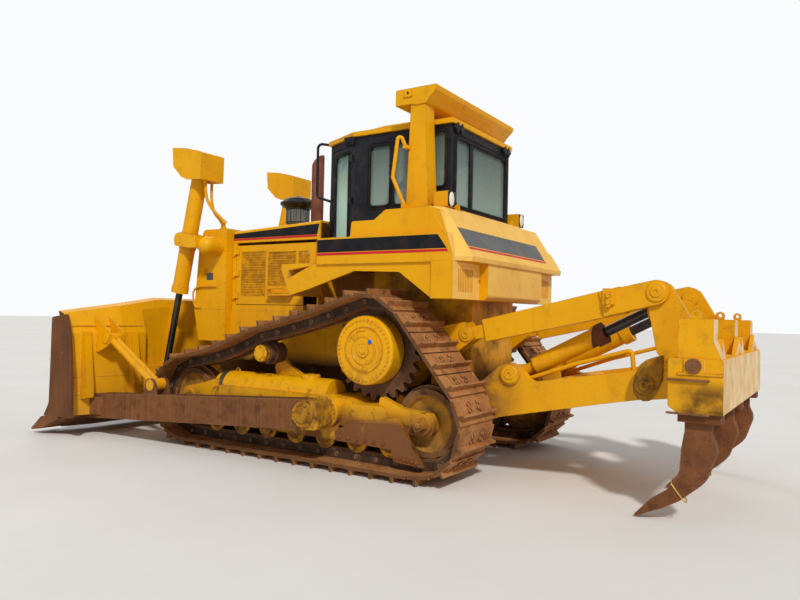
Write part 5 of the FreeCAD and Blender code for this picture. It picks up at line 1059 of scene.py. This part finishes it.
def build_undercarriage():
    """Recoil tube's band and eye, carrier cap, idler blocks, guard bolts, roller and trunnion caps."""
    y = TRACK_Y
    band = revolve([(150.5, 0), (154.5, 2), (154.5, 60), (150.5, 62)], metres([(968, y, 625)]), AHEAD, 48)
    put("recoil_bands", pair(band), "steel")
    arc = np.linspace(0, math.pi, 13)
    eye = metres(columns(900 + 26 * np.cos(arc), y, 770 + 36 * np.sin(arc)))
    lid = revolve([(95, 0), (95, 40), (84, 52), (30, 60)], metres([(-60, y - 10, 745)]), UP, 32)
    lid_bolts = revolve(HEX, metres([(-60 + 80 * math.cos(a), y - 10 + 80 * math.sin(a),
                                      791) for a in np.arange(6) * math.pi / 3]),
                        UP, 6)
    carrier = peg([(82, 0), (80, 10), (56, 12), (54, 20), (22, 22)], [(436, y + 159, 982)], 32)
    carrier_bolts = revolve(HEX, ring_places(436, 982, y + 168, 66, 6, 30), OUT_LEFT, 6)
    put("recoil_fittings", pair(merged([sweep(eye, 9, 8), lid, lid_bolts, carrier, carrier_bolts])),
        "yellow_dirty")
    blocks_made = []
    for x in IDLER_X:
        centre = metres([(x, y, IDLER_Z)])[0]
        hub = peg([(92, 0), (92, 22), (84, 28)], [(x, y + 160, IDLER_Z)], 32)
        square = blocks([(x - 52, y + 186, IDLER_Z - 45)], [(x + 52, y + 236, IDLER_Z + 45)])
        nut = peg([(30, 0), (30, 12), (24, 16)], [(x, y + 235, IDLER_Z)], 6)
        small = peg(HEX, [(x + dx, y + 235, IDLER_Z + dz) for dx in (-38, 38) for dz in (-32, 32)], 6)
        blocks_made.append(turned(merged([hub, square, nut, small]), "Y", 24, centre))
    put("idler_end_blocks", pair(merged(blocks_made)), "frame", bevel=0.003)
    low_row = columns(np.linspace(-1190, -1395, 6), 1200, np.linspace(196, 176, 6))
    mid_row = columns(np.linspace(-600, -1060, 6), 1200, np.linspace(300, 292, 6))
    guard_bolts = peg(BIG_HEX, np.concatenate([low_row, mid_row]), 6)
    caps = metres([(-1075 + 355 * k, y + 149, 275) for k in range(7)])
    roller_caps = revolve([(66, 0), (66, 10), (50, 18), (20, 18)], caps, OUT_LEFT, 24)
    put("guard_bolts", pair(guard_bolts), "rust")
    put("roller_caps", pair(roller_caps), "frame")
    x, z = TRUNNION
    cap = peg([(112, -2), (112, 14), (104, 20), (74, 20), (68, 34), (30, 40), (12, 40)], [(x, 1530, z)], 40)
    cap_bolts = revolve(BIG_HEX, ring_places(x, z, 1549, 91, 8, 22), OUT_LEFT, 6)
    put("trunnion_caps", pair(merged([cap, cap_bolts])), "greasy", body="blade_group")
    flange = peg([(150, 0), (150, 20), (144, 26), (100, 26)], [(x, 1239, z)], 48)
    flange_bolts = revolve(HEX, ring_places(x, z, 1264, 132, 20), OUT_LEFT, 6)
    put("trunnion_flanges", pair(merged([flange, flange_bolts])), "yellow_dirty")


# Hood, guard and their bands.

HOOD_FRONT = 1485
HOOD_LENGTH = 1260
HOOD_TOP_FRONT = 2285
HOOD_RISE = 60


def build_bands():
    """Bare black bands with a thin red line on the hood, the side boxes and the tail."""

    def top_edge(x):
        """Height of the hood's top edge: it rises evenly from front to rear."""
        return HOOD_TOP_FRONT + (HOOD_FRONT - x) / HOOD_LENGTH * HOOD_RISE

    dark = [(1478, 2200), (1478, top_edge(1478) - 34), (236, top_edge(236) - 34), (262, 2200)]
    red = [(1478, 2176), (1478, 2197), (263, 2197), (266, 2176)]
    box_dark = [(-214, 1944), (-214, 2062), (-1500, 2062), (-1588, 1944)]
    box_red = [(-214, 1916), (-214, 1938), (-1592, 1938), (-1604, 1916)]
    for name, finish, thick, hood, box in (("side_bands", "band", 1.6, dark, box_dark),
                                           ("side_lines", "line", 1.8, red, box_red)):
        strips = [slab(outline, "y", face, face + thick) for outline,
                  face in ((hood, HOOD_FACE), (box, BOX_FACE))]
        put(name, pair(merged(strips)), finish)
    grey = tail_strip([(0.205, 948), (0.57, 952), (0.57, -776), (0.205, -774)], 2, 1.8)
    line = tail_strip([(0.145, 946), (0.185, 947), (0.185, -774), (0.145, -774)], 2, 2)
    put("tail_band", grey, "tail")
    put("tail_line", line, "line")


TAIL_LOW = np.array([-1751, 1885])
TAIL_HIGH = np.array([-1470, 2320])
TAIL_CUT_Y = 960


def tail_strip(corners, rise, thick):
    """Thin four-sided sheet on the tail: low edge + share of the slope, moved out along its normal."""
    slope = TAIL_HIGH - TAIL_LOW
    normal = np.array([-slope[1], slope[0]]) / np.linalg.norm(slope)
    share, y = np.array(corners).T
    flat = TAIL_LOW + slope * share[:, None] + normal * np.array([rise, rise + thick])[:, None, None]
    return stacked(metres(columns(flat[..., 0], y, flat[..., 1])))


def build_tail():
    """Tail skin: a slanted face over the tank and both side boxes, its left corner cut, and an upright rim.

    Each level is a six-sided outline, square to Z, whose rear side follows the slope.
    """
    # z, half width
    levels = np.array([(1842, 1117.5), (1885, 1117.5), (2076, 1117.5), (2079.5, 1057.5), (2311.5, 1057.5)])
    slope = (TAIL_HIGH - TAIL_LOW)[0] / (TAIL_HIGH - TAIL_LOW)[1]
    rear = np.where(levels[:, 0] < 1884, -1743.5, TAIL_LOW[0] - 1.8 + (levels[:, 0] - TAIL_LOW[1]) * slope)
    wide = levels[:, 1]
    front = np.full(len(levels), -1378)
    start = np.full(len(levels), TAIL_CUT_Y)
    cut = rear + 150 * (wide - TAIL_CUT_Y) / 156
    rows = columns(np.stack([front, front, cut, rear, rear, rear], axis=1),
                   np.stack([-wide, wide, wide, start, -start, -wide], axis=1), levels[:, :1])
    put("tail_skin", stacked(metres(rows)), "tail_yellow", bevel=0.004)
    bolts = revolve(HEX, metres([(-1653, 640, 1700)]), ASTERN, 6)
    put("tail_bolts", bolts, "yellow_dirty")


MESH_STEP = 11
WIRE = 2.3
STRIP = 9
# rear x, front x, low z, high z of each engine door's grille
DOOR_WINDOWS = [(980, 1345, 1560, 2046), (545, 940, 1672, 2032), (358, 505, 1909, 2030)]


def door_mesh():
    """Wire mesh in the grille windows: upright wires and level wires at one step, with edge strips."""
    lows, highs = [], []
    for rear, front, low, high in DOOR_WINDOWS:
        uprights = np.arange(rear + 8, front, MESH_STEP)
        levels = np.arange(low + 8, high, MESH_STEP)
        lows += [columns(uprights - WIRE, 544.5, low), columns(rear, 546.5, levels - WIRE)]
        highs += [columns(uprights + WIRE, 547.8, high), columns(front, 549.6, levels + WIRE)]
    wires = blocks(np.concatenate(lows), np.concatenate(highs))
    lows, highs = [], []
    for rear, front, low, high in DOOR_WINDOWS:
        rear_edge, front_edge = rear - STRIP, front + STRIP
        lows += [(rear_edge, low - STRIP), (rear_edge, high), (rear_edge, low), (front, low)]
        highs += [(front_edge, low), (front_edge, high + STRIP), (rear, high), (front_edge, high)]
    strips = blocks([(x, 551, z) for x, z in lows], [(x, 554, z) for x, z in highs])
    return wires, strips


def build_engine_doors():
    """Mesh, edge strips, latch, seam bolts and folded step of both engine doors."""
    wires, strips = door_mesh()
    latch = blocks([(384, 573, 1792), (372, 573, 1864), (396, 573, 1806)],
                   [(436, 578, 1868), (448, 584, 1876), (424, 588, 1822)])
    rungs = blocks([(562, 620, 1581), (600, 560, 1581), (700, 560, 1581), (800, 560, 1581)],
                   [(898, 626, 1592), (612, 620, 1588), (712, 620, 1588), (812, 620, 1588)])
    handle = bent([(575, 596, 1600), (575, 612, 1634), (885, 612, 1640), (885, 596, 1600)], 8, 8)
    heads = peg([(9, -1), (9, 3), (6, 5)], columns(np.linspace(470, 1390, 7), HOOD_FACE, 1500), 10)
    for name, fit in FITS:
        body = "engine_door_" + name
        put("grille_wires_" + name, fit(wires), "yellow", body=body)
        put("grille_strips_" + name, fit(merged([strips, heads])), "yellow_clean", body=body)
        put("door_latch_" + name, fit(latch), "black", body=body, bevel=0.0015)
        put("door_step_" + name, fit(merged([rungs, handle])), "yellow_dirty", body=body)


def build_guard():
    """Guard's side vents, bent grab handles, seam strips and bolts."""
    vent = blocks([(1705, GUARD_FACE, 1733)], [(1808, 642.5, 1815)])
    levels = np.arange(1740, 1800, 18)
    slats = blocks(columns(1710, 642, levels), columns(1803, 648, levels + 9))
    put("guard_vents", pair(merged([vent, slats])), "steel", bevel=0.001)
    handle = bent([(1905, 642, 1420), (1990, 656, 1420), (2030, 659, 1660), (1650, 659, 1662),
                   (1640, 642, 1662)], 11, 10)
    feet = peg([(22, -1), (22, 5), (12, 8)], [(1905, GUARD_FACE, 1420), (1640, GUARD_FACE, 1662)], 16)
    seam = blocks([(1500, GUARD_FACE, 1398), (1500, GUARD_FACE, 2095)],
                  [(2000, 642, 1404), (1640, 642, 2100)])
    heads = peg([(10, -1), (10, 4), (7, 6)],
                [(1515, GUARD_FACE, z) for z in (1120, 1240, 1360, 1500, 1700, 1900, 2060, 2250)], 10)
    put("guard_handles", pair(merged([handle, feet, seam, heads])), "yellow")


def build_hose_ports():
    """Bent pipe with a round foot on the guard's top below each lift hose's lower end."""
    ports = []
    for x, y, z in ((1618, 602, 2386), (1566, 622, 2392)):
        way = [(x, y, z), (x + 8, y - 5, z - 20), (x + 12, y - 12, z - 46), (x + 12, y - 14, GUARD_TOP - 4)]
        ports.append(bent(way, 15, 12, rounds=2))
        foot = metres([(x + 12, y - 14, GUARD_TOP)])
        ports.append(revolve([(31, -1), (31, 9), (27, 13), (20, 14), (20, 30), (16, 33)], foot, UP, 20))
    put("hose_ports", pair(merged(ports)), "yellow_dirty")


def build_panels():
    """Sills below the engine doors, plates from the doors to the decks, and small plates on the frame, each
    with a black disc painted as the shade in its hole.
    """
    sill = slab([(431, 1392), (1478, 1392), (1478, 1459), (431, 1459)], "y", 500, 551)
    plate = slab([(-235, 1851), (-235, 1806), (433, 1607), (433, 1735), (323, 1803), (266, 1851)], "y",
                 533, 553)
    edge = sweep(metres([(-235, 554, 1806), (433, 554, 1607)]), 6, 8)
    put("door_sills", pair(merged([sill, plate, edge])), "yellow", bevel=0.003)
    bracket = slab(window_loop(-1046, -956, 3356, 3422, 8), "y", 829, 843)
    # painted shade: a thin black disc on each plate stands for the dark inside of its hole
    hole_shade = peg([(12, 0), (12, 1.6), (8, 2.2)], [(-1000, 842.5, 3390)], 16)
    put("frame_plates", pair(bracket), "yellow", bevel=0.002)
    put("frame_hole_shade", pair(hole_shade), "rubber")


def build_intake():
    """Stack's clamp and lip, and the inlet bowl's clamp band and cap rib."""
    stack = metres([(835, -120, 0)])[0]
    clamp = revolve([(74, 2390), (80, 2392), (80, 2418), (74, 2420)], [stack], UP, 40)
    put("stack_clamp", clamp, "stack")
    inlet = metres([(1130, -120, 0)])[0]
    bands = [revolve([(r, z), (r + 4, z + 2), (r + 4, z + h), (r, z + h + 2)], [inlet], UP, 48)
             for r, z, h in ((94, 2372, 20), (139, 2436, 9), (139, 2588, 8))]
    knob = revolve([(40, 2744), (40, 2752), (26, 2760), (12, 2762)], [inlet], UP, 24)
    put("inlet_bands", merged(bands + [knob]), "rubber")


# Cab.

CAB_SIDE = 620
CAB_REAR = -1340
CAB_FRONT = 205
CAB_KNEE = -250
CAB_NARROW = 420
SLANT = math.atan2(CAB_SIDE - CAB_NARROW, CAB_FRONT - CAB_KNEE)
DOOR_W = math.hypot(CAB_SIDE - CAB_NARROW, CAB_FRONT - CAB_KNEE)


def window_loop(a, b, c, d, radius, steps=6):
    """Closed line round a window: four quarter circles of one radius at the corners of a rectangle."""
    quarter = np.linspace(0, math.pi / 2, steps)
    centres = np.array([(b - radius, d - radius), (a + radius, d - radius), (a + radius, c + radius),
                        (b - radius, c + radius)])
    starts = np.arange(4) * math.pi / 2
    angle = starts[:, None] + quarter[None]
    loop = centres[:, None] + radius * np.stack([np.cos(angle), np.sin(angle)], axis=-1)
    return loop.reshape(-1, 2)


def on_slant(points):
    """Places on the left door's slanted wall: knee + along * u + outward * v, at height z."""
    points = np.asarray(points, dtype=float)
    u, v, z = points[:, 0], points[:, 1], points[:, 2]
    x = CAB_KNEE + u * math.cos(SLANT) + v * math.sin(SLANT)
    y = CAB_SIDE - u * math.sin(SLANT) + v * math.cos(SLANT)
    return metres(columns(x, y, z))


def seal(loop, axis, place, radius):
    """Round rubber seal along a window's loop in a wall square to an axis."""
    return sweep(metres(on_wall(loop[:, 0], loop[:, 1], axis, place)), radius, 8, closed=True)


def build_cab():
    """Window seals, rear window bar, ledge and latches, roof corner boxes, door seals and grips."""
    seals = []
    for a, b, c, d in ((-680, -440, 2425, 3015), (-940, -720, 2425, 3015), (-1285, -1145, 2560, 3070)):
        for grow, radius in ((0, 11), (26, 7)):
            loop = window_loop(a - grow, b + grow, c - grow, d + grow, 45 + grow)
            seals.append(pair(seal(loop, "y", CAB_SIDE + 1, radius)))
    for grow, radius in ((0, 13), (34, 8)):
        for half, low, high, place in ((540, 2395, 3020, CAB_REAR - 1), (345, 2420, 3040, CAB_FRONT + 1)):
            loop = window_loop(-half - grow, half + grow, low - grow, high + grow, 45 + grow)
            seals.append(seal(loop, "x", place, radius))
    put("window_seals", merged(seals), "rubber")
    bar = blocks([(CAB_REAR - 8, 200, 2400), (CAB_REAR - 4, 236, 2400)],
                 [(CAB_REAR + 20, 236, 3015), (CAB_REAR + 20, 250, 3015)])
    turn = np.arange(48) * 2 * np.pi / 48
    knob = 40 * (1 + 0.28 * np.cos(4 * turn)) * np.array([np.cos(turn), np.sin(turn)])
    latches = [slab(knob.T + (y, 3098), "x", CAB_REAR - 34, CAB_REAR - 8) for y in (556, 476, -476, -556)]
    latches += [slab(window_loop(y - 74, y + 74, 3070, 3126, 14), "x", CAB_REAR - 10, CAB_REAR + 2)
                for y in (516, -516)]
    ledge = blocks([(CAB_REAR - 12, -560, 2338)], [(CAB_REAR + 2, 560, 2352)])
    corner = merged([blocks([(-262, 600, 3050)], [(-150, 668, 3128)]),
                     blocks([(-240, 668, 3068)], [(-176, 682, 3112)])])
    put("cab_trim", merged([bar, ledge, pair(corner)] + latches), "black", bevel=0.003)
    u0, u1, z0, z1 = 110, DOOR_W - 110, 2025, 2990
    door_seals = []
    for grow, radius in ((0, 9), (24, 6)):
        flat = window_loop(u0 - grow, u1 + grow, z0 - grow, z1 + grow, 40 + grow)
        door_seals.append(sweep(on_slant(columns(flat[:, 0], 1, flat[:, 1])), radius, 8, closed=True))
    bar_line = [(DOOR_W - 96, out, z) for out, z in ((4, 2250), (46, 2262), (46, 2560), (4, 2572))]
    grip = sweep(eased(on_slant(bar_line)), 9, 8)
    for name, fit in FITS:
        put("door_trim_" + name, fit(merged(door_seals + [grip])), "rubber", body="cab_door_" + name)


def build_lamps():
    """Lenses and bezels of the rear work lamps, the front lamps' lenses and the tank's lifting tabs."""
    bezels, lenses = [], []
    for y in (767, -767):
        loop = window_loop(y - 62, y + 62, 2342, 2474, 18)
        bezels.append(slab(loop, "x", -1432, -1423))
        disc = revolve([(64, 0), (64, 3), (56, 9), (36, 13), (10, 15)], metres([(-1431, y, 2408)]), ASTERN,
                       32)
        oval = (disc[0] - metres((0, y, 0))) * np.array([1, 0.66, 1]) + metres((0, y, 0))
        lenses.append((oval, disc[1]))
    put("rear_lenses", merged(lenses), "lens")
    put("rear_lamp_bezels", merged(bezels), "rubber", bevel=0.002)
    tabs = [slab([(-1418, 2322), (-1372, 2326), (-1372, 2372), (-1384, 2390), (-1402, 2390),
                  (-1418, 2372)], "y", y - 8, y + 8)
            for y in (588, -588)]
    put("tank_tabs", merged(tabs), "yellow", bevel=0.002)
    for name, side in SIGNS:
        spot = metres([(2084, side * 760, 3110)])
        glass = revolve([(66, 0), (66, 5), (58, 12), (36, 18), (12, 20)], spot, AHEAD, 32)
        put("front_lens_" + name, glass, "lens", body="lift_cylinder_" + name)


# Ripper and blade details.

UPPER_FRONT = (-1552, 1228)
UPPER_REAR = (-3145, 1600)
LOWER_REAR = (-3085, 903)
LOWER_FRONT = (-1492, 531)
SHANK_Y = (1000, 0, -1000)
RIP_BASE = (-1965, 905)
PIN_CAP = [(70, 0), (70, 8), (62, 14), (40, 14), (36, 22), (16, 22), (13, 14)]


def cap_at(place, face, radius=70):
    """Stepped round cap on the left side of an eye, with its profile scaled to a radius."""
    profile = [(r * radius / 70, h) for r, h in PIN_CAP]
    return peg(profile, [(place[0], face, place[1])], 36)


def build_ripper():
    """Ripper: link keepers, pin caps, hinge castings, flanges, shank pin plates, tip retainers."""
    keeper = merged([blocks([(-2840, 677, 1500), (-2812, 684, 1480)],
                            [(-2748, 700, 1628), (-2776, 716, 1600)]),
                     peg(BIG_HEX, [(-2794, 715, 1516), (-2794, 715, 1566)], 6)])
    put("link_keepers", pair(merged([keeper, cap_at(UPPER_REAR, 677, 76)])), "yellow", body="ripper_links",
        bevel=0.002)
    base = cap_at(RIP_BASE, 665, 78)
    put("frame_pin_caps", pair(base), "yellow", body="ripper_frame")
    mount = merged([cap_at(UPPER_FRONT, 679, 66), cap_at(LOWER_FRONT, 679, 72)])
    put("mount_pin_caps", pair(mount), "yellow_dirty")
    hinge = slab([(-3217, 1134), (-3213, 950), (-3170, 850), (-3123, 788), (-3074, 782), (-3028, 802),
                  (-3002, 845), (-2997, 897), (-3014, 980), (-3046, 1050), (-3094, 1092), (-3154, 1116)],
                 "y", 698, 741)
    put("beam_hinges", pair(hinge), "greasy", body="ripper_tool_beam", bevel=0.012)
    put("beam_pin_caps", pair(cap_at(LOWER_REAR, 740, 76)), "greasy", body="ripper_tool_beam")
    levels = np.array([985, 758])
    strips = blocks(columns(-3590, 1098, levels), columns(-3318, 1122, levels + 14))
    put("beam_flanges", pair(strips), "shank", body="ripper_tool_beam", bevel=0.003)
    plate = slab(window_loop(-3560, -3424, 1030, 1140, 22), "y", 1096, 1108)
    put("shank_pin_plates", pair(plate), "beam", body="ripper_tool_beam", bevel=0.003)
    pins = peg([(52, 0), (52, 10), (46, 16), (28, 16), (26, 22), (12, 22)], [(-3489, 1109, 1088)], 32)
    put("shank_pin_heads", pair(pins), "shank", body="ripper_tool_beam")
    loop = np.array([(-3345, 39, 268), (-3383, 41, 220), (-3431, 39, 160), (-3436, 0, 150),
                     (-3431, -39, 160), (-3383, -41, 220), (-3345, -39, 268), (-3338, 0, 278)])
    wires = [sweep(metres(loop + (0, y, 0)), 5, 8, closed=True) for y in SHANK_Y]
    put("tip_retainers", merged(wires), "gold", body="ripper_tool_beam")


def weld(points, radius, step=9):
    """Weld bead: a round bar whose radius ripples along the path, radius * (1 + 0.22 * sin)."""
    points = metres(points)
    lengths = np.concatenate([[0], np.cumsum(np.linalg.norm(np.diff(points, axis=0), axis=1))])
    count = max(8, int(lengths[-1] * 1000 / step * 2))
    marks = np.linspace(0, lengths[-1], count)
    path = np.stack([np.interp(marks, lengths, points[:, k]) for k in range(3)], axis=1)
    return sweep(path, radius * (1 + 0.22 * np.sin(np.arange(count) * np.pi)), 6)


def build_blade():
    """Weld seams on the blade's back and end plates, and brace pin caps."""
    seams = []
    for z in (450, 641, 1193):
        x = 2452 if z < 1000 else 2475
        seams.append(weld([(x + 130 * (1795 - 1230) / 616, 1795, z), (x, 1230, z), (x, 980, z)], 5))
    edge = ((2594, 1310), (2519, 1117), (2468, 680), (2448, 240))
    seams.append(weld([(x, END_PLATE, z) for x, z in edge], 7))
    put("blade_welds", pair(merged(seams)), "yellow", body="blade_group")
    caps = peg([(58, 0), (58, 7), (50, 12), (20, 12)], [(1600, 1526, 615), (2360, 1530, 1060)], 28)
    put("brace_pin_caps", pair(caps), "yellow_dirty", body="blade_group")
    bolts = peg([(20, -1), (20, 5), (12, 9)], [(2662, 1846, 1255), (2812, 1846, 1238), (2640, 1846, 900)],
                14)
    put("end_plate_bolts", pair(bolts), "shank", body="blade_group")


aim_camera()
build_hoses()
build_seat()
dress_nodes()
build_stage()
build_tracks()
build_drives()
build_undercarriage()
build_bands()
build_tail()
build_engine_doors()
build_guard()
build_hose_ports()
build_panels()
build_intake()
build_cab()
build_lamps()
build_ripper()
build_blade()

scene = bpy.context.scene
scene.view_settings.view_transform = "Standard"
